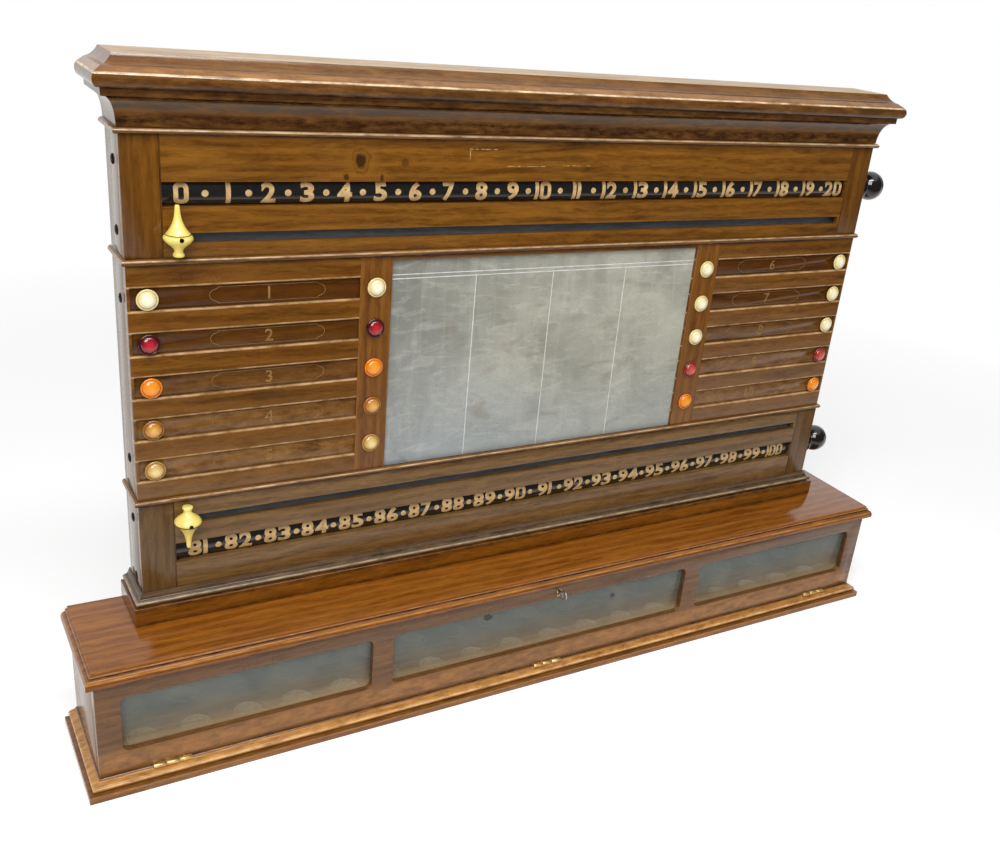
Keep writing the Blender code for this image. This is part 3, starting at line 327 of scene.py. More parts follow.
def make_mottle():
    """Cloudy patches with fine specks and faint rubbed streaks, for slate and dusty glass."""
    tree, feed, out = start_group(
        "mottle",
        [("Place", "Vector", (0, 0, 0)), ("Size", "Float", 12.0)],
        [("Clouds", "Float"), ("Specks", "Float"), ("Rubs", "Float")],
    )
    scale = node(
        tree, "ShaderNodeVectorMath", {0: feed["Place"], "Scale": feed["Size"]}, operation="SCALE"
    ).outputs[0]
    wire(tree, out["Clouds"], levels(tree, noise(tree, scale, 1, 5, 0.62, 0.6), 0.3, 0.7))
    wire(tree, out["Specks"], levels(tree, noise(tree, scale, 34, 2), 0.56, 0.72))
    rub = noise(tree, stretched(tree, scale, (3.2, 1, 0.5)), 1, 4, 0.7, 1.2)
    wire(tree, out["Rubs"], levels(tree, rub, 0.5, 0.75))


def make_tarnish():
    """Dull brown patches and fine scratches on old metal."""
    tree, feed, out = start_group(
        "tarnish",
        [("Place", "Vector", (0, 0, 0)), ("Bright", "Color", (1, 1, 1)), ("Dull", "Color", (0, 0, 0))],
        [("Color", "Color"), ("Roughness", "Float"), ("Height", "Float")],
    )
    patches = levels(tree, noise(tree, feed["Place"], 190, 4, 0.6), 0.4, 0.66)
    scratches = noise(tree, stretched(tree, feed["Place"], (160, 1500, 1500)), 1, 2)
    wire(tree, out["Color"], blended(tree, patches, feed["Bright"], feed["Dull"]))
    wire(tree, out["Roughness"], levels(tree, patches, 0, 1, 0.44, 0.66))
    wire(tree, out["Height"], scratches)


def new_material(name):
    """A new material's nodes, its shader and the place on its object."""
    made = bpy.data.materials.new(name)
    made.use_nodes = True
    tree = made.node_tree
    place = node(tree, "ShaderNodeTexCoord").outputs["Object"]
    return tree, tree.nodes["Principled BSDF"], place


def relief(tree, shader, height, strength, distance):
    """Lets a height shape the surface."""
    feeds = {"Height": height, "Strength": strength, "Distance": distance}
    wire(tree, shader.inputs["Normal"], node(tree, "ShaderNodeBump", feeds).outputs[0])


def wood(name, dark, mid, light, shift, turn=(0, 0, 0), figure=0.4, streaks=0.32,
         sheen=0.16, smears=0.1, worn=0.5, spots=(), scratches=(), bands=(), ends=None,
         shade_edges_of=None, reveal_shade=0.0):
    """Varnished wood in three tones, its grain turned along the piece.

    A band is a height, its half width, its share and a colour laid over the grain, or
    None for painted shade; most band colours are painted highlights, reflections or shade.
    Beyond the ends the grain stands upright. The piece named by the edge argument gets
    painted shade along its upper and lower edges, and the sides of its openings get
    painted shade as strong as the last argument says.
    """
    tree, shader, place = new_material(name)
    shade = tuple(value * 0.3 for value in dark)
    laid = laid_grain(tree, place, shift, turn, ends)
    grain = grouped(tree, "polished_grain", {
        "Place": laid, "Dark": dark, "Middle": mid, "Light": light, "Figure": figure,
        "Streaks": streaks,
    })
    colour = grain["Color"]
    if ends:
        colour = jointed(tree, colour, place, ends, dark, shade)
    # Painted shade along the named piece's upper and lower edges
    if shade_edges_of:
        low, high = span(shade_edges_of)
        bands = (*bands, *((edge.z, EDGE_SHADE_REACH, 0.75, None) for edge in (low, high)))
    colour = banded(tree, colour, place, bands, shade)
    colour = knotted(tree, colour, place, spots, light, shade)
    colour = scratched(tree, colour, place, scratches)
    outward = node(tree, "ShaderNodeNewGeometry").outputs["True Normal"]
    arris = grouped(tree, "worn_arris", {"Place": place, "Facing": outward, "Amount": worn})
    colour = blended(tree, arris["Mask"], colour, RUBBED)
    # Painted shade on the sides of the openings within the board's width
    if reveal_shade:
        across = maths(tree, "ABSOLUTE", split(tree, place)[0])
        inside = levels(tree, across, OPENINGS_END, OPENINGS_END - 0.01, 0, reveal_shade)
        share = times(tree, inside, levels(tree, arris["Frontal"], 0.6, 0.2))
        colour = blended(tree, share, colour, shade)
    wire(tree, shader.inputs["Base Color"], colour)
    varnish = grouped(tree, "varnish", {"Place": laid, "Sheen": sheen, "Smears": smears})
    wire(tree, shader.inputs["Roughness"], varnish["Roughness"])
    height = maths(tree, "ADD", grain["Height"], varnish["Height"])
    relief(tree, shader, height, 0.1, 0.0004)


def laid_grain(tree, place, shift, turn, ends):
    """Where the grain lies: along the piece, and upright beyond the ends."""
    feeds = {"Vector": place, "Location": shift, "Rotation": turn}
    laid = node(tree, "ShaderNodeMapping", feeds).outputs[0]
    if not ends:
        return laid
    feeds["Rotation"] = UPRIGHT
    upright = node(tree, "ShaderNodeMapping", feeds).outputs[0]
    beyond = maths(tree, "GREATER_THAN", maths(tree, "ABSOLUTE", split(tree, place)[0]), ends)
    chosen = node(tree, "ShaderNodeMix", data_type="VECTOR")
    for index, value in ((0, beyond), (4, laid), (5, upright)):
        wire(tree, chosen.inputs[index], value)
    return chosen.outputs[1]


def jointed(tree, colour, place, ends, dark, shade):
    """Darker end boards and the dark lines where they meet the middle one."""
    across = maths(tree, "ABSOLUTE", split(tree, place)[0])
    beyond = maths(tree, "GREATER_THAN", across, ends)
    line = levels(tree, off(tree, across, ends), JOINT_LINE, JOINT_LINE / 3, 0, 0.9)
    return layered(tree, colour, (times(tree, beyond, 0.4), dark), (line, shade))


def banded(tree, colour, place, bands, shade):
    """Level bands of a colour or of painted shade, each broken up in patches."""
    height = split(tree, place)[2]
    patches = noise(tree, stretched(tree, place, (45, 120, 120)), 1, 5, 0.68)
    broken = levels(tree, patches, 0.34, 0.62, 0.15, 1)
    for level, half, most, tint in bands:
        near = levels(tree, off(tree, height, level), half, half * 0.35, 0, most)
        colour = blended(tree, times(tree, near, broken), colour, tint or shade)
    return colour


def knotted(tree, colour, place, spots, light, shade):
    """Dark knots, each with a ring and a pale halo."""
    for centre, reach, depth in spots:
        wander = levels(tree, noise(tree, place, 85, 4, 0.6), 0.2, 0.8, -0.5, 0.5)
        far = far_from(tree, place, centre, reach, wander)
        colour = layered(
            tree, colour,
            (levels(tree, far, 2.6, 1.2, 0, depth * 0.3), light),
            (levels(tree, off(tree, far, 1.25), 0.2, 0.04, 0, depth * 0.4), shade),
            (levels(tree, far, 1.05, 0.55, 0, depth), shade),
        )
    return colour


def scratched(tree, colour, place, scratches):
    """Thin pale scratches, upright or level, from their centre and half size."""
    for centre, half in scratches:
        gap = split(tree, vectors(tree, "ABSOLUTE", vectors(tree, "SUBTRACT", place, centre)))
        along = levels(tree, gap[0], half[0] * 1.02, half[0] * 0.98)
        across = levels(tree, gap[2], half[1], half[1] * 0.5)
        broken = levels(tree, noise(tree, place, 260, 3), 0.42, 0.56, 0, 0.75)
        colour = blended(tree, times(tree, along, across, broken), colour, SCRATCH)
    return colour


def gloss(name, colour, tint, roughness, patch=30.0, coat=0.5, ripple=0.05):
    """A polished hard finish whose colour clouds from one tone into another."""
    tree, shader, place = new_material(name)
    clouds = grouped(tree, "mottle", {"Place": place, "Size": patch})
    shade = blended(tree, clouds["Clouds"], colour, tint)
    wire(tree, shader.inputs["Base Color"], shade)
    rough = levels(tree, clouds["Rubs"], 0, 1, roughness, roughness + 0.14)
    wire(tree, shader.inputs["Roughness"], rough)
    shader.inputs["Coat Weight"].default_value = coat
    shader.inputs["Coat Roughness"].default_value = 0.08
    relief(tree, shader, clouds["Specks"], ripple, 0.0002)


def domed_gloss(name, heart, rim):
    """A polished dome whose tone deepens towards its rim as painted shade, with clouds of that deeper
    tone.
    """
    tree, shader, place = new_material(name)
    reach = node(tree, "ShaderNodeAttribute", attribute_name="reach").outputs["Fac"]
    clouds = grouped(tree, "mottle", {"Place": place, "Size": 75.0})
    clouded = times(tree, clouds["Clouds"], 0.3)
    wire(tree, shader.inputs["Base Color"], layered(
        tree, heart, (levels(tree, reach, 0.2, 0.85), rim), (clouded, rim)
    ))
    wire(tree, shader.inputs["Roughness"], levels(tree, clouds["Rubs"], 0, 1, 0.12, 0.24))
    shader.inputs["Coat Weight"].default_value = 0.7
    shader.inputs["Coat Roughness"].default_value = 0.05
    relief(tree, shader, clouds["Specks"], 0.05, 0.0002)


def metal(name, bright, dull):
    """Metal that has gone dull in patches."""
    tree, shader, place = new_material(name)
    skin = grouped(tree, "tarnish", {"Place": place, "Bright": bright, "Dull": dull})
    wire(tree, shader.inputs["Base Color"], skin["Color"])
    wire(tree, shader.inputs["Roughness"], skin["Roughness"])
    shader.inputs["Metallic"].default_value = 1
    relief(tree, shader, skin["Height"], 0.15, 0.0001)


def finish(name):
    """A finish that has been mixed, by its name."""
    return bpy.data.materials[name]


# Mesh building blocks


def in_scene(name, data):
    """A new object in the scene."""
    obj = bpy.data.objects.new(name, data)
    bpy.context.scene.collection.objects.link(obj)
    return obj


def settle(name, mesh, material, body, replaced=(), angle=None):
    """Makes a mesh a finished piece that rides on its body."""
    mesh.name = name
    mesh.materials.clear()
    mesh.materials.append(finish(material))
    if angle is not None:
        mesh.shade_smooth()
        mesh.set_sharp_from_angle(angle=math.radians(angle))
    obj = in_scene(name, mesh)
    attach(obj, body)
    if replaced:
        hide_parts(*replaced)
    return obj


def to_mesh(bm, name, clean=True):
    """Turns a shell into a mesh, merged and facing outwards unless it is left as it is."""
    if clean:
        bmesh.ops.remove_doubles(bm, verts=bm.verts, dist=MERGE)
        bmesh.ops.recalc_face_normals(bm, faces=bm.faces)
    mesh = bpy.data.meshes.new(name)
    bm.to_mesh(mesh)
    bm.free()
    return mesh


def merged_copy(name):
    """A CAD node's shape as one clean shell."""
    bm = bmesh.new()
    bm.from_mesh(frame["nodes"][name].data)
    bmesh.ops.remove_doubles(bm, verts=bm.verts, dist=MERGE)
    bmesh.ops.dissolve_limit(bm, angle_limit=math.radians(1), verts=bm.verts, edges=bm.edges)
    return bm


def evaluated(data, prepare=None):
    """The mesh of a shape after its modifiers, which prepare adds to a working object."""
    obj = in_scene("working", data)
    if prepare:
        prepare(obj)
    graph = bpy.context.evaluated_depsgraph_get()
    made = bpy.data.meshes.new_from_object(obj.evaluated_get(graph))
    bpy.data.objects.remove(obj)
    return made


def carved(mesh, cutters=(), arris=0.0, segments=2):
    """The mesh with the cutters' shapes taken out of it and its arrises rounded over."""
    for shell in cutters:
        bmesh.ops.recalc_face_normals(shell, faces=shell.faces)
    cutter = in_scene("cutter", gathered(cutters, "cutter")) if cutters else None

    def prepare(obj):
        if cutter:
            cut = obj.modifiers.new("cut", "BOOLEAN")
            cut.object = cutter
            cut.operation = "DIFFERENCE"
            cut.solver = "EXACT"
        if arris:
            bevel = obj.modifiers.new("arris", "BEVEL")
            bevel.width = arris
            bevel.segments = segments
            bevel.limit_method = "ANGLE"
            bevel.angle_limit = math.radians(30)
            bevel.harden_normals = True

    made = evaluated(mesh, prepare)
    if cutter:
        bpy.data.objects.remove(cutter)
    return made


def softened(name, arris, material, segments=2, joints=(), wells=()):
    """A CAD node's shape with its arrises rounded over, scored where its boards meet.

    wells are the places (x, z) of sunk screws in its back.
    """
    mesh = to_mesh(merged_copy(name), name, clean=False)
    mesh.shade_smooth()
    low, high = span(name)
    front = low.y - OVERCUT
    cutters = [
        lofted([
            [(x - SCORE_HALF, front, z), (x, low.y + SCORE_DEPTH, z), (x + SCORE_HALF, front, z)]
            for z in (low.z - OVERCUT, high.z + OVERCUT)
        ])
        for x in joints
    ]
    sink = [(0, OVERCUT), (WELL_RADIUS, OVERCUT), (WELL_RADIUS, -WELL_DEPTH), (0, -WELL_DEPTH)]
    cutters += [turned_along(sink, 32, (0, 1, 0), (x, high.y, z)) for x, z in wells]
    made = carved(mesh, cutters, arris, segments)
    settle(f"{name}_finished", made, material, frame["nodes"][name]["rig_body"], (name,))


def arc(centre, radii, start, end, steps):
    """Points of an elliptical arc between two angles in degrees."""
    turns = [math.radians(start + (end - start) * i / steps) for i in range(steps + 1)]
    return [
        (centre[0] + radii[0] * math.cos(t), centre[1] + radii[1] * math.sin(t)) for t in turns
    ]


def flowing(points, steps):
    """A smooth line through the points."""
    ends = [points[0], *points, points[-1]]
    line = []
    for i in range(1, len(ends) - 2):
        p0, p1, p2, p3 = (np.array(ends[i + k]) for k in (-1, 0, 1, 2))
        for t in np.arange(steps) / steps:
            line.append(tuple(0.5 * (
                2 * p1 + (p2 - p0) * t + (2 * p0 - 5 * p1 + 4 * p2 - p3) * t ** 2
                + (3 * p1 - p0 - 3 * p2 + p3) * t ** 3
            )))
    return [*line, points[-1]]


def lofted(sections, closed_ends=True):
    """A skin through several placings of one closed outline, as a shell."""
    bm = bmesh.new()
    loops = [[bm.verts.new(point) for point in section] for section in sections]
    for loop, following in zip(loops, loops[1:]):
        for i in range(len(loop)):
            j = (i + 1) % len(loop)
            bm.faces.new((loop[i], loop[j], following[j], following[i]))
    if closed_ends:
        bm.faces.new(loops[0])
        bm.faces.new(reversed(loops[-1]))
    return bm


def scaled(shares, across, up):
    """A profile from its shares of a width and of a height."""
    return [(p * across, rise * up) for p, rise in shares]


def hooped(sections):
    """A skin through sections that come round to the first one again."""
    return lofted([*sections, sections[0]], closed_ends=False)


def moulded_strip(profile, bottom):
    """A profile run round the front and both ends of the board, mitred at the corners."""
    front = BACK_Y - FACE_Y
    return lofted([
        [(side * (BOARD_HALF + p), BACK_Y - reach * (front + p), bottom + rise) for p, rise in profile]
        for side, reach in ((-1, 0), (-1, 1), (1, 1), (1, 0))
    ])


def moulded_block(profile, half, front_y, bottom):
    """A block with a flat back whose front and ends follow a profile."""
    sections = []
    for p, rise in profile:
        x, y, z = half + p, front_y - p, bottom + rise
        sections.append([(-x, BACK_Y, z), (-x, y, z), (x, y, z), (x, BACK_Y, z)])
    return lofted(sections)


def turned(profile, steps):
    """A turned shell from a (radius, height) profile, about Z."""
    bm = bmesh.new()
    rings = []
    for radius, height in profile:
        if radius < MERGE:
            rings.append([bm.verts.new((0, 0, height))])
            continue
        turns = [2 * math.pi * i / steps for i in range(steps)]
        rings.append(
            [bm.verts.new((radius * math.cos(t), radius * math.sin(t), height)) for t in turns]
        )
    for upper, lower in zip(rings, rings[1:]):
        for i in range(steps):
            j = (i + 1) % steps
            corners = [
                upper[i % len(upper)], upper[j % len(upper)],
                lower[j % len(lower)], lower[i % len(lower)],
            ]
            unique = list(dict.fromkeys(corners))
            if len(unique) > 2:
                bm.faces.new(unique)
    bmesh.ops.recalc_face_normals(bm, faces=bm.faces)
    return bm


def moved(bm, matrix):
    """The shell after a turn or a move."""
    bmesh.ops.transform(bm, matrix=matrix, verts=bm.verts)
    return bm


def facing(direction, place):
    """Turns a shape from +Z to a direction and moves it to a place."""
    turn = Vector(direction).to_track_quat("Z", "Y").to_matrix().to_4x4()
    return Matrix.Translation(place) @ turn


def turned_along(profile, steps, direction, place):
    """A turned shell whose axis runs from a place in a direction."""
    return moved(turned(profile, steps), facing(direction, place))


def block(low, high):
    """A plain block between two corners."""
    bm = bmesh.new()
    bmesh.ops.create_cube(bm, size=1)
    low, high = Vector(low), Vector(high)
    bmesh.ops.scale(bm, vec=high - low, verts=bm.verts)
    bmesh.ops.translate(bm, vec=(low + high) / 2, verts=bm.verts)
    return bm


def gathered(shells, name, clean=False):
    """Several shells as one mesh."""
    whole = bmesh.new()
    for shell in shells:
        part = to_mesh(shell, name, clean=False)
        whole.from_mesh(part)
        bpy.data.meshes.remove(part)
    return to_mesh(whole, name, clean)


def lettering(text, **shape):
    """Plain type as a thick shell, flat in X and Y."""
    curve = bpy.data.curves.new("lettering", "FONT")
    curve.body = text
    for key, value in shape.items():
        setattr(curve, key, value)
    mesh = evaluated(curve)
    bm = bmesh.new()
    bm.from_mesh(mesh)
    bpy.data.meshes.remove(mesh)
    bmesh.ops.remove_doubles(bm, verts=bm.verts, dist=0.0005)
    return bm


def extent(bm):
    """The low and high corner of a shell."""
    points = np.array([v.co[:] for v in bm.verts])
    return points.min(0), points.max(0)


# Geometry Nodes building blocks


def start_tree(name, inputs):
    """An empty geometry tree with named inputs."""
    tree = bpy.data.node_groups.new(name, "GeometryNodeTree")
    tree.interface.new_socket("Geometry", in_out="OUTPUT", socket_type="NodeSocketGeometry")
    tree.interface.new_socket("Geometry", in_out="INPUT", socket_type="NodeSocketGeometry")
    for label, kind in inputs:
        tree.interface.new_socket(label, in_out="INPUT", socket_type=f"NodeSocket{kind}")
    return tree, tree.nodes.new("NodeGroupInput").outputs, tree.nodes.new("NodeGroupOutput").inputs


def finish_tree(tree, geometry, material, out):
    """Realizes what the tree has made and gives it its material."""
    real = node(tree, "GeometryNodeRealizeInstances", {"Geometry": geometry}).outputs[0]
    coloured = node(tree, "GeometryNodeSetMaterial", {"Geometry": real, "Material": material})
    wire(tree, out["Geometry"], coloured.outputs[0])


def run_tree(tree_name, values, start):
    """The mesh that a geometry tree makes from a mesh and the values of its inputs."""
    tree = bpy.data.node_groups[tree_name]

    def prepare(obj):
        modifier = obj.modifiers.new("making", "NODES")
        modifier.node_group = tree
        for item in tree.interface.items_tree:
            if item.item_type == "SOCKET" and item.in_out == "INPUT" and item.name in values:
                modifier[item.identifier] = values[item.name]

    return evaluated(start, prepare)


def make_dot_row():
    """Flat round dots at the points of a row."""
    tree, feed, out = start_tree(
        "dot_row", [("Radius", "Float"), ("Thickness", "Float"), ("Material", "Material")]
    )
    dot = node(tree, "GeometryNodeMeshCylinder", {
        "Vertices": 24, "Fill Segments": 4, "Radius": feed["Radius"],
        "Depth": feed["Thickness"],
    }, fill_type="TRIANGLE_FAN").outputs[0]
    spread = node(tree, "GeometryNodeInstanceOnPoints", {
        "Points": feed["Geometry"], "Instance": dot,
    })
    finish_tree(tree, spread.outputs[0], feed["Material"], out)


def make_set_pieces():
    """A copy of one fitting at each of several points, all turned alike."""
    tree, feed, out = start_tree(
        "set_pieces",
        [("Fitting", "Object"), ("Turn", "Vector"), ("Spin", "Float"), ("Seed", "Int"),
         ("Material", "Material")],
    )
    shape = node(tree, "GeometryNodeObjectInfo", {"Object": feed["Fitting"]}).outputs["Geometry"]
    spins = node(tree, "FunctionNodeRandomValue", {"Seed": feed["Seed"]}, data_type="FLOAT")
    wire(tree, spins.inputs[3], feed["Spin"])
    about = node(tree, "ShaderNodeCombineXYZ", {"Z": spins.outputs[1]}).outputs[0]
    first = node(tree, "FunctionNodeEulerToRotation", {"Euler": about}).outputs[0]
    then = node(tree, "FunctionNodeEulerToRotation", {"Euler": feed["Turn"]}).outputs[0]
    turn = node(tree, "FunctionNodeRotateRotation", {"Rotation": first, "Rotate By": then})
    spread = node(tree, "GeometryNodeInstanceOnPoints", {
        "Points": feed["Geometry"], "Instance": shape, "Rotation": turn.outputs[0],
    })
    finish_tree(tree, spread.outputs[0], feed["Material"], out)


def make_inlaid_line():
    """A thin flat line that follows a drawn path."""
    tree, feed, out = start_tree(
        "inlaid_line",
        [("Width", "Float"), ("Thickness", "Float"), ("Material", "Material")],
    )
    path = node(tree, "GeometryNodeMeshToCurve", {"Mesh": feed["Geometry"]}).outputs[0]
    section = node(tree, "GeometryNodeCurvePrimitiveQuadrilateral", {
        "Width": feed["Thickness"], "Height": feed["Width"],
    }).outputs[0]
    line = node(tree, "GeometryNodeCurveToMesh", {
        "Curve": path, "Profile Curve": section, "Fill Caps": True,
    }).outputs[0]
    finish_tree(tree, line, feed["Material"], out)


def point_mesh(points, ring=False):
    """Loose points, or points joined into a ring."""
    mesh = bpy.data.meshes.new("points")
    edges = [(i, (i + 1) % len(points)) for i in range(len(points))] if ring else []
    mesh.from_pydata(points, edges, [])
    return mesh


def fitted(name, fitting, points, turn, material, spin=0.0, seed=1):
    """Copies of one fitting at points on the case, as a piece of their own."""
    values = {
        "Fitting": fitting, "Turn": turn, "Spin": spin, "Seed": seed,
        "Material": finish(material),
    }
    mesh = run_tree("set_pieces", values, point_mesh(points))
    settle(name, mesh, material, "case", angle=35)


# Settings that a user may change


class WoodSettings(bpy.types.PropertyGroup):
    """Tones and edges of the polished wood"""

    board_dark: bpy.props.FloatVectorProperty(
        name="Board, dark", description="Darkest tone of the upright board",
        default=srgb(62, 32, 2), subtype="COLOR", min=0, max=1,
    )
    board_mid: bpy.props.FloatVectorProperty(
        name="Board, middle", description="Main tone of the upright board",
        default=srgb(110, 66, 10), subtype="COLOR", min=0, max=1,
    )
    board_light: bpy.props.FloatVectorProperty(
        name="Board, light", description="Lightest tone of the upright board",
        default=srgb(148, 98, 30), subtype="COLOR", min=0, max=1,
    )
    lid_mid: bpy.props.FloatVectorProperty(
        name="Lid, middle", description="Main tone of the ball box lid",
        default=srgb(126, 72, 16), subtype="COLOR", min=0, max=1,
    )
    box_mid: bpy.props.FloatVectorProperty(
        name="Ball box, middle", description="Main tone of the ball box door and base",
        default=srgb(104, 68, 36), subtype="COLOR", min=0, max=1,
    )
    slat_mid: bpy.props.FloatVectorProperty(
        name="Slats, middle", description="Main tone of the sliding slats",
        default=srgb(74, 38, 2), subtype="COLOR", min=0, max=1,
    )
    arris: bpy.props.FloatProperty(
        name="Softened edge", description="Width of the rounded edges",
        default=0.0007, min=0.0002, max=0.002, unit="LENGTH",
    )
    cup_radius: bpy.props.FloatProperty(
        name="Cup radius", description="Radius of the cups under the balls",
        default=0.0176, min=0.01, max=0.02, unit="LENGTH",
    )


class NumberSettings(bpy.types.PropertyGroup):
    """Painted numbers on the rollers and the slats"""

    height: bpy.props.FloatProperty(
        name="Roller number height", description="Height of the painted numbers on a roller",
        default=0.0224, min=0.01, max=0.024, unit="LENGTH",
    )
    dot_radius: bpy.props.FloatProperty(
        name="Dot radius", description="Radius of the dots between the numbers",
        default=0.0036, min=0.001, max=0.006, unit="LENGTH",
    )
    paint: bpy.props.FloatProperty(
        name="Paint thickness", description="How far the numbers stand proud",
        default=0.00012, min=0.00005, max=0.0005, unit="LENGTH",
    )
    slat_height: bpy.props.FloatProperty(
        name="Slat number height", description="Height of the gilt numbers on the slats",
        default=0.0142, min=0.005, max=0.018, unit="LENGTH",
    )
    gilt_line: bpy.props.FloatProperty(
        name="Gilt line width", description="Width of the line round each slat number",
        default=0.0006, min=0.0003, max=0.002, unit="LENGTH",
    )
    colour: bpy.props.FloatVectorProperty(
        name="Number colour", description="Colour of the numbers on the rollers",
        default=srgb(214, 182, 130), subtype="COLOR", min=0, max=1,
    )
    gilt: bpy.props.FloatVectorProperty(
        name="Gilt colour", description="Colour of the numbers and lines on the slats",
        default=srgb(152, 114, 56), subtype="COLOR", min=0, max=1,
    )


class FittingSettings(bpy.types.PropertyGroup):
    """Knobs, pointers, slate and glass"""

    cream: bpy.props.FloatVectorProperty(
        name="Cream knobs", description="Colour of the cream knobs",
        default=srgb(255, 251, 226), subtype="COLOR", min=0, max=1,
    )
    red: bpy.props.FloatVectorProperty(
        name="Red knobs", description="Colour of the red knobs",
        default=srgb(196, 36, 44), subtype="COLOR", min=0, max=1,
    )
    orange: bpy.props.FloatVectorProperty(
        name="Orange knobs", description="Colour of the orange knobs",
        default=srgb(246, 160, 40), subtype="COLOR", min=0, max=1,
    )
    amber: bpy.props.FloatVectorProperty(
        name="Amber knobs", description="Colour of the amber knobs",
        default=srgb(232, 176, 84), subtype="COLOR", min=0, max=1,
    )
    tan: bpy.props.FloatVectorProperty(
        name="Tan knobs", description="Colour of the tan knobs",
        default=srgb(244, 220, 150), subtype="COLOR", min=0, max=1,
    )
    ivory: bpy.props.FloatVectorProperty(
        name="Pointers", description="Colour of the turned pointers",
        default=srgb(246, 228, 130), subtype="COLOR", min=0, max=1,
    )
    slate: bpy.props.FloatVectorProperty(
        name="Slate", description="Main colour of the slate",
        default=srgb(166, 165, 150), subtype="COLOR", min=0, max=1,
    )
    haze: bpy.props.FloatVectorProperty(
        name="Dust on the glass", description="Colour of the dust on the panes",
        default=srgb(160, 136, 102), subtype="COLOR", min=0, max=1,
    )
    ruling: bpy.props.FloatProperty(
        name="Ruled line width", description="Width of the white lines on the slate",
        default=0.001, min=0.0004, max=0.003, unit="LENGTH",
    )


class StageSettings(bpy.types.PropertyGroup):
    """Floor, lamps and camera"""

    lamp_power: bpy.props.FloatProperty(
        name="Lamp power", description="Power of the large soft lamp in front",
        default=76, min=0, max=500, unit="POWER",
    )
    sky: bpy.props.FloatProperty(
        name="Room light", description="Strength of the light from all round",
        default=0.34, min=0, max=2, subtype="FACTOR",
    )
    focal_length: bpy.props.FloatProperty(
        name="Focal length", description="Focal length of the camera in millimetres",
        default=39.13, min=10, max=200,
    )


def settings(context):
    """What the user has set for wood, numbers, fittings and stage."""
    scene = context.scene
    return scene.wood_look, scene.number_look, scene.fitting_look, scene.stage_look


# Pieces. A mark is a place, its reach along each axis and, for a knot, how dark it is.


UPPER_KNOTS = (
    ((-0.2675, FACE_Y, 0.6945), (0.0085, 0.04, 0.0105), 0.85),
    ((-0.2155, FACE_Y, 0.692), (0.006, 0.04, 0.0065), 0.5),
    ((-0.284, FACE_Y, 0.6765), (0.0035, 0.04, 0.005), 0.75),
    ((-0.2425, FACE_Y, 0.6755), (0.0025, 0.04, 0.006), 0.75),
)
UPPER_SCRATCHES = (
    ((-0.118, FACE_Y, 0.7085), (0.0185, 0.0005)),
    ((-0.1345, FACE_Y, 0.702), (0.0006, 0.0065)),
    ((-0.058, FACE_Y, 0.6895), (0.027, 0.0005)),
    ((0.012, FACE_Y, 0.6905), (0.02, 0.0004)),
)
GLASS_MARKS = (
    ((-0.096, -0.06, 0.1125), (0.0068, 0.04, 0.0048)),
    ((0.107, -0.06, 0.101), (0.004, 0.04, 0.0038)),
)


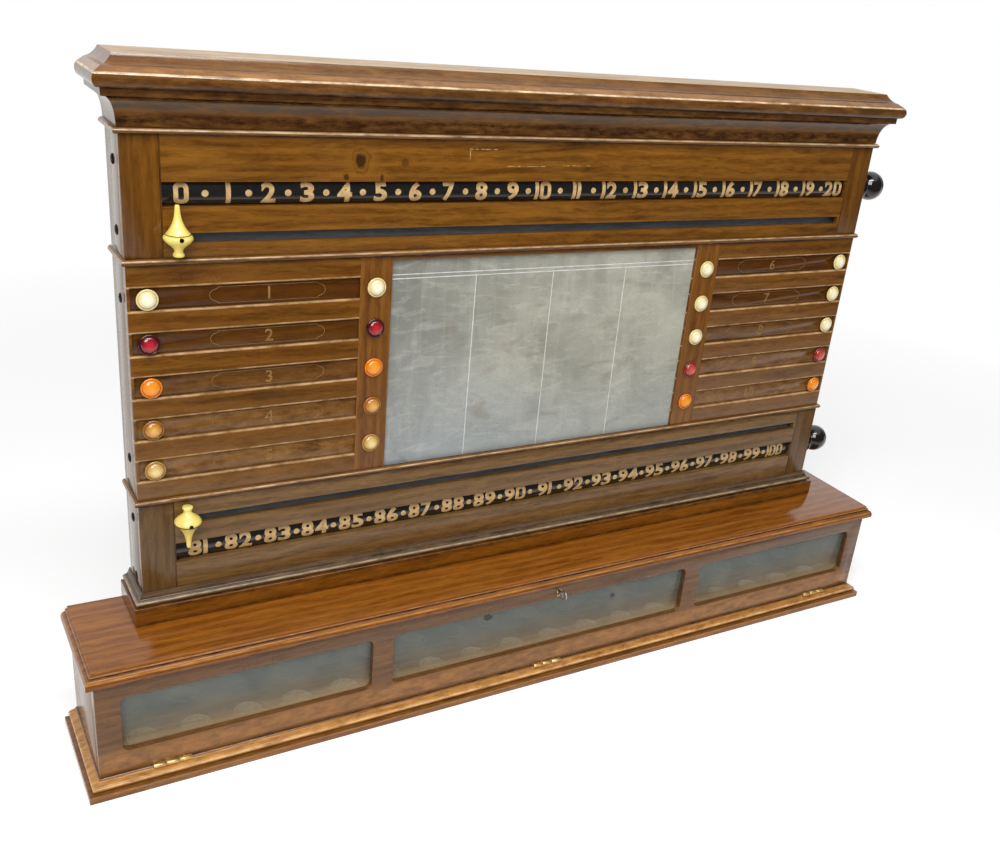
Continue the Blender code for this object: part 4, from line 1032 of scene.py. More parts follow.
class SCOREBOARD_OT_finishes(bpy.types.Operator):
    """Mix the woods, paints, metals and glass that the pieces wear"""

    bl_idname = "scoreboard.finishes"
    bl_label = "Finishes"

    def execute(self, context):
        look, number, fitting, _ = settings(context)
        for make in (
            make_polished_grain, make_worn_arris, make_varnish, make_mottle, make_tarnish,
            make_dot_row, make_set_pieces, make_inlaid_line,
        ):
            make()
        board = (look.board_dark, look.board_mid, look.board_light)
        # Colours laid over the wood: a painted highlight, a pale tone for worn lines on the rails and
        # painted highlights on the lid and base, a painted reflection for the cornice's cove and a
        # painted shade for its hollows
        painted_highlight, pale = srgb(240, 212, 172), srgb(196, 158, 112)
        painted_cove_reflection, painted_hollow_shade = srgb(76, 60, 44), srgb(46, 20, 2)
        rails = tuple(
            (z + way * 0.0131, 0.0016, 1.0, pale)
            for z in (middle(f"slat_left_{row}").z for row in ROWS) for way in (-1, 1)
        )
        # Painted reflection of the floor, lighter towards the foot of the middle panel
        lower_painted_reflection = ((0.3, 0.16, 0.6, srgb(122, 88, 50)),)
        # Where a call names a piece for its edges, that piece gets painted shade along its upper and
        # lower edges
        wood("fascia_wood", *board, (0.3, 0.1, 0.2), figure=0.3, spots=UPPER_KNOTS,
             scratches=UPPER_SCRATCHES, ends=JOINT_X, shade_edges_of="upper_fascia")
        wood("lower_fascia_wood", srgb(58, 36, 14), srgb(106, 76, 40), srgb(140, 106, 62),
             (1.3, 0.4, 0.9), figure=0.3, ends=JOINT_X, shade_edges_of="lower_fascia")
        wood("middle_wood", srgb(56, 28, 2), srgb(102, 58, 10), srgb(138, 90, 26),
             (2.1, 0.7, 0.35), figure=0.3, worn=0.3, shade_edges_of="middle_panel",
             bands=(*lower_painted_reflection, *rails))
        wood("stile_wood", srgb(70, 38, 6), srgb(112, 66, 16), srgb(142, 92, 34),
             (0.7, 1.1, 1.9), UPRIGHT, shade_edges_of="middle_panel")
        # Cornice and beads: painted shade in the cove, under the nose and in the creases under the
        # beads, a painted reflection in the upper cove, painted light on the top of the nose and
        # painted highlights along the nose and the bead tops
        wood("moulding_wood", srgb(58, 30, 6), srgb(108, 66, 22), srgb(150, 104, 48),
             (3.3, 0.2, 0.6), figure=0.2, sheen=0.12, worn=0.0, bands=(
                 (0.732, 0.009, 1.0, painted_hollow_shade), (0.769, 0.0068, 0.6, painted_hollow_shade),
                 (0.7455, 0.0062, 0.9, painted_cove_reflection), (0.7265, 0.0024, 0.4, None),
                 (0.7532, 0.0044, 1.0, None), (0.7635, 0.0034, 1.0, None),
                 (0.7586, 0.003, 0.8, painted_hollow_shade), (0.7762, 0.0013, 1.0, painted_highlight),
                 (0.7795, 0.003, 0.5, srgb(190, 136, 82)),
                 (0.7188, 0.0022, 1.0, None), (0.723, 0.0014, 0.55, painted_highlight),
                 (0.5886, 0.0022, 1.0, None), (0.5926, 0.0011, 0.5, painted_highlight),
                 (0.3156, 0.0022, 1.0, None), (0.3196, 0.001, 0.6, painted_highlight),
             ))
        # Where the cornice lies level: settled dust and a painted glare of the light from above
        wood("cornice_top_dust_and_glare", srgb(120, 88, 56), srgb(196, 168, 132), srgb(222, 200, 168),
             (1.9, 0.6, 2.6), figure=0.1, sheen=0.45)
        # Painted shade in the foot's creases and a painted highlight along its round
        wood("foot_wood", srgb(48, 34, 22), srgb(88, 68, 48), srgb(120, 98, 72),
             (0.4, 3.1, 1.6), figure=0.1, streaks=0.15, sheen=0.12, worn=0.1, bands=(
                 (0.1976, 0.002, 0.9, None), (0.1903, 0.0012, 0.9, None),
                 (0.1945, 0.0012, 0.8, srgb(190, 168, 136)),
             ))
        wood("plinth_wood", srgb(78, 38, 4), srgb(128, 74, 16), srgb(156, 100, 32),
             (1.4, 2.1, 0.6), figure=0.2, sheen=0.12, worn=0.1, shade_edges_of="plinth")
        wood("side_wood", srgb(56, 32, 12), srgb(98, 62, 26), srgb(126, 86, 44),
             (0.9, 2.2, 0.4), UPRIGHT, sheen=0.12)
        # Painted shade in the grooves of the lid's edge and painted highlights along its round and bead
        wood("lid_wood", srgb(92, 44, 4), look.lid_mid, srgb(176, 110, 38),
             (4.4, 1.2, 0.8), figure=0.35, sheen=0.1, smears=0.05, worn=0.0, bands=(
                 (0.1604, 0.0014, 1.0, None), (0.1496, 0.0012, 1.0, None),
                 (0.1621, 0.0008, 0.5, pale), (0.1566, 0.0013, 0.55, srgb(214, 160, 98)),
                 (0.1535, 0.0012, 0.8, None),
             ))
        # Painted shade along the door frame's upper and lower edges and on the sides of its windows
        wood("box_wood", srgb(66, 40, 16), look.box_mid, srgb(134, 92, 52),
             (5.2, 0.3, 1.4), figure=0.25, sheen=0.19, worn=0.5, shade_edges_of="door_frame", reveal_shade=0.3,
             bands=((0.036, 0.022, 0.6, srgb(186, 126, 62)),))
        # Painted shade in the base's grooves, painted light on its bead and painted highlights along
        # the bead and the lower edge
        wood("base_wood", srgb(84, 42, 10), srgb(140, 86, 34), srgb(178, 122, 54),
             (2.2, 4.3, 0.4), figure=0.25, sheen=0.13, worn=0.0, bands=(
                 (0.0098, 0.0009, 0.5, None), (0.0207, 0.0008, 1.0, None),
                 (0.0006, 0.001, 0.8, None), (0.0162, 0.0046, 0.8, srgb(224, 164, 92)),
                 (0.0152, 0.0008, 0.8, painted_highlight), (0.0078, 0.0008, 0.5, pale),
             ))
        wood("box_end_wood", srgb(78, 44, 18), srgb(124, 78, 38), srgb(150, 102, 56),
             (0.2, 5.3, 1.7), (0, 0, math.pi / 2), figure=0.25, sheen=0.15)
        # The slats are painted lighter low down with a reflection of the floor, and painted darker
        # along the top row with shade
        wood("slat_face_wood", srgb(44, 20, 0), look.slat_mid, srgb(112, 68, 16),
             (6.1, 0.9, 0.2), figure=0.2, sheen=0.1, smears=0.04,
             bands=((0.31, 0.2, 0.9, srgb(136, 96, 50)), (0.56, 0.03, 0.6, srgb(70, 34, 2))))
        wood("back_wood", srgb(52, 34, 20), srgb(92, 64, 40), srgb(122, 90, 60),
             (1.7, 3.1, 0.5), sheen=0.5, smears=0.2, worn=0.3)
        wood("tray_wood", srgb(96, 80, 60), srgb(142, 122, 96), srgb(176, 156, 126),
             (2.7, 3.9, 0.5), sheen=0.55, smears=0.2, worn=0.2)
        # Painted shadow of the slot's upper edge along the top of each lining
        wood("slot_lining", srgb(78, 82, 86), srgb(118, 124, 130), srgb(150, 156, 162),
             (1.1, 2.9, 0.7), figure=0.1, sheen=0.35, smears=0.2, worn=0.2,
             bands=tuple((z + 0.0034, 0.0036, 1.0, None) for z in SLOT_Z.values()))
        self.mix_hard_finishes(number, fitting)
        return {"FINISHED"}

    def mix_hard_finishes(self, number, fitting):
        """The paints, polished knobs and metals, then slate and glass."""
        gloss("number_paint", number.colour, srgb(170, 132, 80), 0.4, 120, 0.1, 0.2)
        gloss("gilt_paint", number.gilt, srgb(104, 74, 32), 0.45, 120, 0.1, 0.2)
        gloss("roller_black_gloss", srgb(14, 13, 13), srgb(26, 23, 20), 0.16, 26, 1.0)
        gloss("ebony_gloss", srgb(12, 11, 11), srgb(24, 21, 19), 0.1, 30, 0.6)
        # Each knob's second tone is painted shade at its rim
        domed_gloss("cream_gloss", fitting.cream, srgb(222, 204, 142))
        domed_gloss("red_gloss", fitting.red, srgb(58, 2, 12))
        domed_gloss("coral_gloss", srgb(222, 92, 74), srgb(128, 28, 24))
        domed_gloss("orange_gloss", fitting.orange, srgb(224, 122, 16))
        domed_gloss("amber_gloss", fitting.amber, srgb(150, 92, 26))
        domed_gloss("tan_gloss", fitting.tan, srgb(170, 126, 56))
        gloss("ivory_gloss", fitting.ivory, srgb(232, 204, 96), 0.22, 70)
        gloss("ruled_white", srgb(226, 228, 222), srgb(186, 190, 186), 0.8, 90, 0.0, 0.3)
        gloss("cup_cream", srgb(240, 234, 208), srgb(204, 194, 160), 0.6, 50, 0.0, 0.3)
        metal("worn_brass", srgb(255, 226, 164), srgb(206, 166, 100))
        metal("dark_steel", srgb(60, 56, 54), srgb(24, 20, 18))
        metal("blackened_iron", srgb(34, 32, 30), srgb(12, 11, 10))
        metal("bright_steel", srgb(190, 186, 176), srgb(112, 98, 82))
        self.mix_slate(fitting.slate)
        self.mix_glass(fitting.haze)

    def mix_slate(self, colour):
        """Rubbed slate, cooler towards its foot and its lower left, darker towards its upper left."""
        tree, shader, place = new_material("rubbed_slate")
        low, high = span("slate")
        skin = grouped(tree, "mottle", {"Place": place, "Size": 11})
        deep = tuple(value * 0.66 for value in colour)
        pale = tuple(min(value * 1.16, 1) for value in colour)
        across, _, up = split(tree, place)
        rise, fall = maths(tree, "ADD", up, across), maths(tree, "SUBTRACT", up, across)
        brush = noise(tree, stretched(tree, place, (26, 1, 90)), 1, 4, 0.65, 0.8)
        stain = noise(tree, stretched(tree, place, (14, 1, 30)), 1, 3, 0.6, 1.2)
        wire(tree, shader.inputs["Base Color"], layered(
            tree, blended(tree, skin["Clouds"], deep, pale),
            (levels(tree, up, low.z, (low.z + high.z) / 2, 0.5, 0), srgb(162, 168, 168)),
            (levels(tree, rise, 0.42, 0.1, 0, 0.6), srgb(142, 152, 164)),
            (levels(tree, fall, 0.5, 0.74, 0, 0.75), srgb(112, 112, 104)),
            (levels(tree, brush, 0.5, 0.72, 0, 0.4), srgb(196, 196, 184)),
            (levels(tree, stain, 0.58, 0.72, 0, 0.45), srgb(128, 116, 96)),
            (times(tree, skin["Rubs"], 0.35), srgb(186, 186, 174)),
            (times(tree, skin["Specks"], 0.3), srgb(104, 104, 98)),
        ))
        wire(tree, shader.inputs["Roughness"], levels(tree, skin["Rubs"], 0, 1, 0.5, 0.72))
        relief(tree, shader, skin["Clouds"], 0.12, 0.0005)

    def mix_glass(self, colour):
        """Old glass under a veil that is partly dust and partly painted reflection, thicker towards its
        foot and its top.
        """
        tree, shader, place = new_material("dusty_glass")
        low, high = span("door_glass_middle")
        skin = grouped(tree, "mottle", {"Place": place, "Size": 16})
        rise = levels(tree, split(tree, place)[2], low.z, high.z)
        # Painted reflection makes the upper pane bluish grey, and painted light makes its foot pale and
        # warm where the frame's shadow falls
        shade = layered(
            tree, colour,
            (levels(tree, rise, 0.15, 0.6), srgb(104, 112, 108)),
            (levels(tree, rise, 0.2, 0.04, 0, 0.9), srgb(228, 200, 154)),
            (levels(tree, skin["Clouds"], 0, 1, 0, 0.35), srgb(138, 132, 112)),
            (times(tree, skin["Specks"], 0.3), srgb(196, 188, 164)),
        )
        veil = levels(tree, skin["Clouds"], 0, 1, 0.22, 0.38)
        veil = maths(tree, "ADD", veil, levels(tree, rise, 0.25, 0.75, 0, 0.3))
        veil = maths(tree, "ADD", veil, levels(tree, rise, 0.3, 0.0, 0, 0.35), clamp=True)
        for centre, reach in GLASS_MARKS:
            ragged = levels(tree, noise(tree, place, 240, 2), 0, 1, -0.5, 0.5)
            mark = levels(tree, far_from(tree, place, centre, reach, ragged), 1.15, 0.85)
            shade = blended(tree, mark, shade, srgb(26, 24, 20))
            veil = maths(tree, "MAXIMUM", veil, mark)
        wire(tree, shader.inputs["Base Color"], shade)
        wire(tree, shader.inputs["Alpha"], veil)
        shader.inputs["Roughness"].default_value = 0.12
        shader.inputs["Specular IOR Level"].default_value = 0.8


class SCOREBOARD_OT_woodwork(bpy.types.Operator):
    """Round over the edges of the flat wooden pieces and polish them"""

    bl_idname = "scoreboard.woodwork"
    bl_label = "Board and box woodwork"

    def execute(self, context):
        look = settings(context)[0]
        plan = (
            ("upper_fascia", "fascia_wood", "mahogany", 0.5),
            ("lower_fascia", "lower_fascia_wood", "mahogany", 0.5),
            ("middle_panel", "middle_wood", "mahogany", 1.3),
            ("board_left_side", "side_wood", "mahogany", 1),
            ("board_right_side", "side_wood", "mahogany", 1),
            ("board_back", "back_wood", "dark_mahogany", 1),
            ("plinth", "plinth_wood", "dark_mahogany", 1),
            ("box_back", "back_wood", "mahogany", 1),
            ("box_left_end", "box_end_wood", "mahogany", 1),
            ("box_right_end", "box_end_wood", "mahogany", 1),
            ("door_frame", "box_wood", "mahogany", 0.8),
        )
        for name, material, slot, share in plan:
            joints = (-JOINT_X, JOINT_X) if name.endswith("fascia") else ()
            wells = BACK_SCREWS if name == "board_back" else ()
            softened(name, look.arris * share, material, joints=joints, wells=wells)
        self.linings()
        return {"FINISHED"}

    def linings(self):
        """A dark strip between the board's sides behind each pointer slot."""
        left, right = span("board_left_side")[1].x, span("board_right_side")[0].x
        front, back, half = FACE_Y + 0.0165, FACE_Y + 0.0185, 0.011
        for name, z in SLOT_Z.items():
            strip = block((left, front, z - half), (right, back, z + half))
            settle(f"{name}_slot_lining", to_mesh(strip, name), "slot_lining", "case")


class SCOREBOARD_OT_mouldings(bpy.types.Operator):
    """Run the cornice, the beads, the foot, the lid and the base in smooth profiles"""

    bl_idname = "scoreboard.mouldings"
    bl_label = "Mouldings"

    def execute(self, context):
        self.cornice()
        self.beads()
        self.foot()
        self.lid()
        self.base()
        return {"FINISHED"}

    def cornice(self):
        """Cove, fillet, nose and a sloping top; where it lies level it has settled dust and a painted
        glare of the light from above.
        """
        low, high = span("cornice")
        reach, height = high.x - BOARD_HALF, high.z - low.z
        cove = arc((0.53, 0), (0.47, 0.425), 180, 90, 24)
        fillet = [(0.675, 0.44), (0.685, 0.545)]
        nose = arc((0.77, 0.67), (0.23, 0.115), -80, 70, 24)
        top = flowing([(0.8487, 0.778), (0.615, 0.835), (0.4, 0.87), (0.2, 0.935), (0.08, 1.0)], 6)
        profile = scaled([*cove, *fillet, *nose, *top[1:]], reach, height)
        mesh = to_mesh(moulded_block(profile, BOARD_HALF, FACE_Y, low.z), "cornice")
        obj = settle("cornice_moulded", mesh, "moulding_wood", "case", ("cornice",), 32)
        obj.data.materials.append(finish("cornice_top_dust_and_glare"))
        for face in obj.data.polygons:
            if face.normal.z > 0.999:
                face.material_index = 1

    def beads(self):
        """The three half-round beads."""
        for name in ("lower_bead", "upper_bead", "neck_bead"):
            low, high = span(name)
            reach, half = high.x - BOARD_HALF, (high.z - low.z) / 2
            start = 0.0003
            profile = arc((start, half), (reach - start, half), -90, 90, 24)
            mesh = to_mesh(moulded_strip(profile, low.z), name)
            settle(f"{name}_moulded", mesh, "moulding_wood", "case", (name,), 50)

    def foot(self):
        """The foot moulding, a half round under a cove."""
        low, high = span("foot_moulding")
        reach, height = high.x - BOARD_HALF, high.z - low.z
        start = 0.0003 / reach
        torus = arc((0.62, 0.22), (0.38, 0.22), -78, 84, 16)
        cove = arc((0.66, 0.84), (0.34, 0.37), 262, 182, 14)
        shares = [(start, 0), (0.66, 0), *torus, *cove, (0.24, 0.86), (0.24, 0.97), (0.21, 1.0),
                  (start, 1.0)]
        profile = scaled(shares, reach, height)
        mesh = to_mesh(moulded_strip(profile, low.z), "foot")
        settle("foot_moulding_run", mesh, "foot_wood", "case", ("foot_moulding",), 32)

    def lid(self):
        """The box lid with its rounded and stepped edge."""
        low, high = span("box_lid")
        front_y = span("door_frame")[0].y
        half = high.x - (front_y - low.y)
        over = high.x - half
        height = high.z - low.z
        round_edge = arc((0.5, 0.147), (0.5, 0.46), -20, 78, 20)
        step = [(0.48, 0.635), (0.4, 0.66)]
        bead = arc((0.22, 0.745), (0.2, 0.085), -70, 80, 12)
        top = [(0.13, 0.845), *arc((0.05, 0.93), (0.08, 0.07), 0, 90, 5)]
        shares = [(0.8, 0), (0.92, 0.03), *round_edge, *step, *bead, *top]
        profile = scaled(shares, over, height)
        mesh = to_mesh(moulded_block(profile, half, front_y, low.z), "lid")
        mesh = carved(mesh, [self.bolt_pocket(low.z)])
        settle("box_lid_moulded", mesh, "lid_wood", "case", ("box_lid",), 32)

    def bolt_pocket(self, bottom):
        """Room in the lid for the bolt and for its quarter turn."""
        low, high = span("lock_bolt")
        x, z, room, hub = middle("key").x, (low.z + high.z) / 2, 0.0012, 0.003
        reach = high.x - x
        return block((x - hub - room, low.y - room, bottom - room),
                     (x + reach * 0.72 + room, high.y + room, z + reach + room))

    def base(self):
        """The base board, a square edge under a bead and a small cove."""
        low, high = span("box_base")
        front_y = span("door_frame")[0].y
        over = front_y - low.y
        half = high.x - over
        edge, member, bead = 0.001, 0.0094, 0.004
        profile = [(over - edge, 0)]
        profile += arc((over - edge, edge), (edge, edge), -80, 0, 4)
        profile += arc((over - edge, member - edge), (edge, edge), 0, 90, 5)
        profile += arc((over - 0.0085, member + bead), (bead, bead), -70, 90, 18)
        profile += flowing(
            [(0.006, member + 2 * bead), (0.0025, 0.0186), (0.0009, 0.0203), (0, high.z)], 5
        )[1:]
        mesh = to_mesh(moulded_block(profile, half, front_y, low.z), "base")
        mesh = carved(mesh, [self.hinge_notch(name) for name in HINGES])
        settle("box_base_moulded", mesh, "base_wood", "case", ("box_base",), 32)

    def hinge_notch(self, name):
        """Room in the base for a hinge leaf, open above it."""
        low, high = span(f"hinge_{name}_base_leaf")
        room, above = Vector((0.0003, 0.0003, 0.0003)), Vector((0, 0, 0.004))
        return block(low - room, high + room + above)


class SCOREBOARD_OT_rollers(bpy.types.Operator):
    """Turn the black rollers and their knobs, and paint the numbers round them"""

    bl_idname = "scoreboard.rollers"
    bl_label = "Rollers and numbers"

    def execute(self, context):
        number = settings(context)[1]
        digits = self.digit_shapes(number)
        for name in ROLLERS:
            self.drum(name)
            self.knob(name)
            self.numbers(name, number, digits, 0 if name == "upper" else 4)
        return {"FINISHED"}

    def drum(self, name):
        """The black roller, thick behind the window and thin at its journals."""
        low, high = span(f"{name}_roller")
        centre = middle(f"{name}_roller")
        half, radius, journal, edge = 0.4784, (high.z - low.z) / 2, 0.005, 0.0008
        profile = [
            (0, high.x), (journal, high.x), (journal, half), (radius - edge, half),
            *arc((radius - edge, half - edge), (edge, edge), 90, 0, 4),
            *arc((radius - edge, edge - half), (edge, edge), 0, -90, 4),
            (journal, -half), (journal, low.x), (0, low.x),
        ]
        drum = turned_along(profile, 96, (1, 0, 0), (0, centre.y, centre.z))
        settle(f"{name}_roller_drum", to_mesh(drum, name), "roller_black_gloss", f"{name}_roller",
               (f"{name}_roller",), 35)

    knob_rings = ((7, 0.0004), (8, 0.0004), (13, 0.0005), (14, 0.0005), (20, 0.0004), (21, 0.0004))

    def knob(self, name):
        """The ball knob at a roller's end, with its turned rings and collar."""
        low, high = span(f"{name}_roller_knob")
        length, radius = high.x - low.x, (high.z - low.z) / 2
        centre = middle(f"{name}_roller_knob")
        neck, bore, bore_depth = radius * 0.57, 0.0053, 0.035
        ball = arc((0, length - radius), (radius, radius), 90, -52, 40)
        for i, depth in self.knob_rings:
            reach, rise = ball[i]
            ball[i] = (reach - depth * reach / radius, rise - depth * (rise - length + radius) / radius)
        throat = flowing([(neck + 0.0008, length * 0.325), (neck - 0.0006, length * 0.31),
                          (neck, length * 0.295)], 4)
        collar = arc((neck, length * 0.17), (radius * 0.38, length * 0.115), 80, -80, 20)
        foot = [(neck + 0.001, length * 0.05), (radius * 0.7, length * 0.042),
                (radius * 0.7, 0), (bore, 0), (bore, bore_depth), (0, bore_depth)]
        profile = [(0, length), *ball[1:], *throat, *collar, *foot]
        grip = turned_along(profile, 64, (1, 0, 0), (low.x, centre.y, centre.z))
        settle(f"{name}_roller_grip", to_mesh(grip, name), "ebony_gloss", f"{name}_roller",
               (f"{name}_roller_knob",), 40)

    def digit_shapes(self, number):
        """Each digit as a thin closed plate of the right height, cut into narrow bands."""
        shapes = {}
        for digit in "0123456789":
            if digit == "1":
                bm = block((0, 0, -number.paint), (number.height * 0.225, number.height, number.paint))
            elif digit == "0":
                bm = self.squared_ring(number)
            else:
                bm = self.typed(digit, number)
            bands = 14
            for i in range(1, bands):
                geometry = [*bm.verts, *bm.edges, *bm.faces]
                level = number.height * i / bands
                bmesh.ops.bisect_plane(
                    bm, geom=geometry, plane_co=(0, level, 0), plane_no=(0, 1, 0), dist=1e-6
                )
            points = np.array([v.co[:] for v in bm.verts])
            bm.verts.index_update()
            faces = [[v.index for v in face.verts] for face in bm.faces]
            bm.free()
            shapes[digit] = (points, faces, float(points[:, 0].max()))
        return shapes

    def typed(self, digit, number):
        """A digit in plain type, stretched to the painted numbers' height and width."""
        bm = lettering(digit, extrude=0.01, offset=0.04, resolution_u=6)
        low, high = extent(bm)
        width = number.height * (0.76 if digit == "4" else 0.69)
        size = (width, number.height, number.paint * 2)
        for v in bm.verts:
            for k in range(3):
                v.co[k] = (v.co[k] - low[k]) / (high[k] - low[k]) * size[k]
            v.co.z -= number.paint
        return bm

    def squared_ring(self, number):
        """A nought with straight sides and rounded corners."""
        height, thick = number.height, number.paint
        width, stroke = height * 0.68, height * 0.215

        def outline(inset, radius):
            points = []
            for x, y, start in ((1, 1, 0), (-1, 1, 90), (-1, -1, 180), (1, -1, 270)):
                centre = (
                    width / 2 + x * (width / 2 - inset - radius),
                    height / 2 + y * (height / 2 - inset - radius),
                )
                points += arc(centre, (radius, radius), start, start + 90, 8)
            return points

        sections = []
        for (a, b), (c, d) in zip(outline(0, height * 0.26), outline(stroke, height * 0.08)):
            sections.append([(a, b, -thick), (a, b, thick), (c, d, thick), (c, d, -thick)])
        bm = hooped(sections)
        bmesh.ops.remove_doubles(bm, verts=bm.verts, dist=1e-6)
        bmesh.ops.recalc_face_normals(bm, faces=bm.faces)
        return bm

    def joined(self, sheets):
        """Several sheets of points and faces as one."""
        points, faces, count = [], [], 0
        for sheet, sides in sheets:
            points.append(sheet)
            faces += [[i + count for i in side] for side in sides]
            count += len(sheet)
        return np.concatenate(points), faces

    def written(self, text, digits, gap, squeeze):
        """The points and faces of a number, its middle at zero."""
        sheets, across = [], 0.0
        for digit in text:
            shape, sides, width = digits[digit]
            sheets.append((shape + (across, 0, 0), sides))
            across += width + gap
        points, faces = self.joined(sheets)
        points[:, 0] -= (across - gap) / 2
        points[:, 0] *= squeeze
        return points, faces

    def wrapped(self, points, roller, turn):
        """Rolls flat points round a roller; their height becomes the way round it."""
        low, high = span(f"{roller}_roller")
        centre, radius = middle(f"{roller}_roller"), (high.z - low.z) / 2
        out = radius + points[:, 2]
        angle = points[:, 1] / radius + turn
        return np.stack(
            [points[:, 0], centre.y - out * np.cos(angle), centre.z + out * np.sin(angle)], 1
        )

    def centres(self, row):
        """Where the numbers of a row stand along the roller, single digits closer together."""
        if row[0]:
            start, pitch = -0.453, 0.0475
            return [start + i * pitch for i in range(len(row))]
        places = [-0.459]
        first, close, wide = 0.048, 0.0424, 0.0488
        for value in row[1:]:
            places.append(places[-1] + (first if value == 1 else close if value <= 10 else wide))
        return places

    def numbers(self, roller, number, digits, row_in_view):
        """Five rows of numbers round a roller, with dots between them."""
        rows = [list(range(0, 21))] + [list(range(20 * k + 1, 20 * k + 21)) for k in range(1, 5)]
        painted, dots = [], []
        for k, row in enumerate(rows):
            turn = (k - row_in_view) * 2 * math.pi / len(rows)
            centres = self.centres(row)
            for centre, value in zip(centres, row):
                squeeze = 0.82 if value == 100 else 1.0
                points, faces = self.written(str(value), digits, number.height * 0.085, squeeze)
                points += (centre, -number.height / 2, 0)
                painted.append((self.wrapped(points, roller, turn), faces))
            values = {
                "Radius": number.dot_radius, "Thickness": number.paint * 2,
                "Material": finish("number_paint"),
            }
            between = [((a + b) / 2, 0, 0) for a, b in zip(centres, centres[1:])]
            mesh = run_tree("dot_row", values, point_mesh(between))
            points = np.array([v.co[:] for v in mesh.vertices])
            faces = [list(face.vertices) for face in mesh.polygons]
            dots.append((self.wrapped(points, roller, turn), faces))
            bpy.data.meshes.remove(mesh)
        points, faces = self.joined(painted + dots)
        mesh = bpy.data.meshes.new(f"{roller}_numbers")
        mesh.from_pydata(points.tolist(), [], faces)
        mesh.validate()
        settle(f"{roller}_roller_numbers", mesh, "number_paint", f"{roller}_roller")


class SCOREBOARD_OT_slats(bpy.types.Operator):
    """Polish the sliding slats and letter them with plain gilt numbers"""

    bl_idname = "scoreboard.slats"
    bl_label = "Slats and numbers"

    def execute(self, context):
        look, number, _, _ = settings(context)
        for side, sign in SIDES:
            for row in ROWS:
                name = f"slat_{side}_{row}"
                softened(name, look.arris * 0.4, "slat_face_wood")
                value = row if side == "left" else row + len(ROWS)
                self.cartouche(name, sign, number)
                self.number(name, sign, number, str(value))
        return {"FINISHED"}

    def cartouche(self, name, sign, number):
        """A gilt line round the number, its ends rounded between small shoulders."""
        y, z = span(name)[0].y, middle(name).z
        half, rise, bend, shoulder = 0.0645, 0.0089, 0.0062, 0.0076
        bulge = arc((half - bend, 0), (bend, bend), 78, -78, 12)
        right = [(half - 0.009, rise), (half - 0.0085, shoulder), *bulge,
                 (half - 0.0085, -shoulder), (half - 0.009, -rise)]
        left = [(-x, up) for x, up in reversed(right)]
        points = [(sign * SLAT_NUMBER_X + x, y, z + up) for x, up in [*right, *left]]
        values = {
            "Width": number.gilt_line, "Thickness": number.paint * 2,
            "Material": finish("gilt_paint"),
        }
        mesh = run_tree("inlaid_line", values, point_mesh(points, ring=True))
        settle(f"{name}_border", mesh, "gilt_paint", name)

    def number(self, name, sign, number, text):
        """A gilt number in the middle of its outline."""
        y, z, extrude = span(name)[0].y, middle(name).z, 0.02
        bm = lettering(text, align_x="CENTER", extrude=extrude, offset=0.012, space_character=1.15)
        (_, bottom, _), (_, top, _) = extent(bm)
        scale = number.slat_height / (top - bottom)
        thick = number.paint / extrude
        for v in bm.verts:
            x, up, out = v.co
            v.co = (
                sign * SLAT_NUMBER_X + x * scale, y - out * thick,
                z + (up - (bottom + top) / 2) * scale,
            )
        settle(f"{name}_number", to_mesh(bm, name), "gilt_paint", name)


class SCOREBOARD_OT_knobs(bpy.types.Operator):
    """Turn the domed knobs of the slats and the stiles"""

    bl_idname = "scoreboard.knobs"
    bl_label = "Knobs"

    tones = {
        "left": ("cream", "red", "orange", "amber", "tan"),
        "right": ("cream", "cream", "cream", "coral", "orange"),
    }
    slots = {"coral": "red"}

    def execute(self, context):
        look = settings(context)[0]
        for side, tones in self.tones.items():
            stile_x = middle(f"slate_stile_{side}").x
            for row, tone in zip(ROWS, tones):
                node_name = f"slat_knob_{side}_{row}"
                low, high = span(node_name)
                centre = middle(node_name)
                radius, height = (high.z - low.z) / 2, FACE_Y - low.y
                finish_name, slot = f"{tone}_gloss", self.slots.get(tone, tone)
                mesh = self.dome(radius, height, high.y - FACE_Y, (centre.x, FACE_Y, centre.z))
                settle(f"knob_{side}_{row}", mesh, finish_name, f"slat_{side}_{row}",
                       (node_name,), 40)
                mesh = self.dome(radius, height, SHALLOW, (stile_x, FACE_Y, centre.z))
                settle(f"stile_knob_{side}_{row}", mesh, finish_name, "case", (), 40)
            self.stile(side, look.arris)
        return {"FINISHED"}

    def dome(self, radius, height, depth, place):
        """A domed knob with a beaded rim, and a spigot where it is deep enough for one."""
        rim, peg = height * 0.25, 0.004
        bead = arc((radius * 0.9, rim * 0.85), (radius * 0.1, rim * 0.75), 130, -50, 12)
        dome = arc((0, rim), (radius * 0.82, height - rim), 90, 4, 18)
        spigot = [(peg, 0), (peg, -depth), (0, -depth)] if depth > SHALLOW else [(0, -depth)]
        foot = [(radius * 0.96, 0.0002), (radius * 0.9, 0.0001)] + spigot
        profile = [(0, height), *dome[1:], (radius * 0.835, rim * 0.95), *bead, *foot]
        bm = turned(profile, 48)
        reach = bm.verts.layers.float.new("reach")
        for v in bm.verts:
            v[reach] = math.hypot(v.co.x, v.co.y) / radius
        return to_mesh(moved(bm, facing((0, -1, 0), place)), "knob")

    def stile(self, side, arris):
        """The flat strip beside the slate, in place of the strip with its knobs on it."""
        name = f"slate_stile_{side}"
        low, high = span(name)
        panel_low, panel_high = span("middle_panel")
        bm = block((low.x, FACE_Y, panel_low.z), (high.x, high.y, panel_high.z))
        mesh = to_mesh(bm, name, clean=False)
        mesh.shade_smooth()
        made = carved(mesh, arris=arris * 0.7)
        settle(f"{name}_strip", made, "stile_wood", "case", (name,))


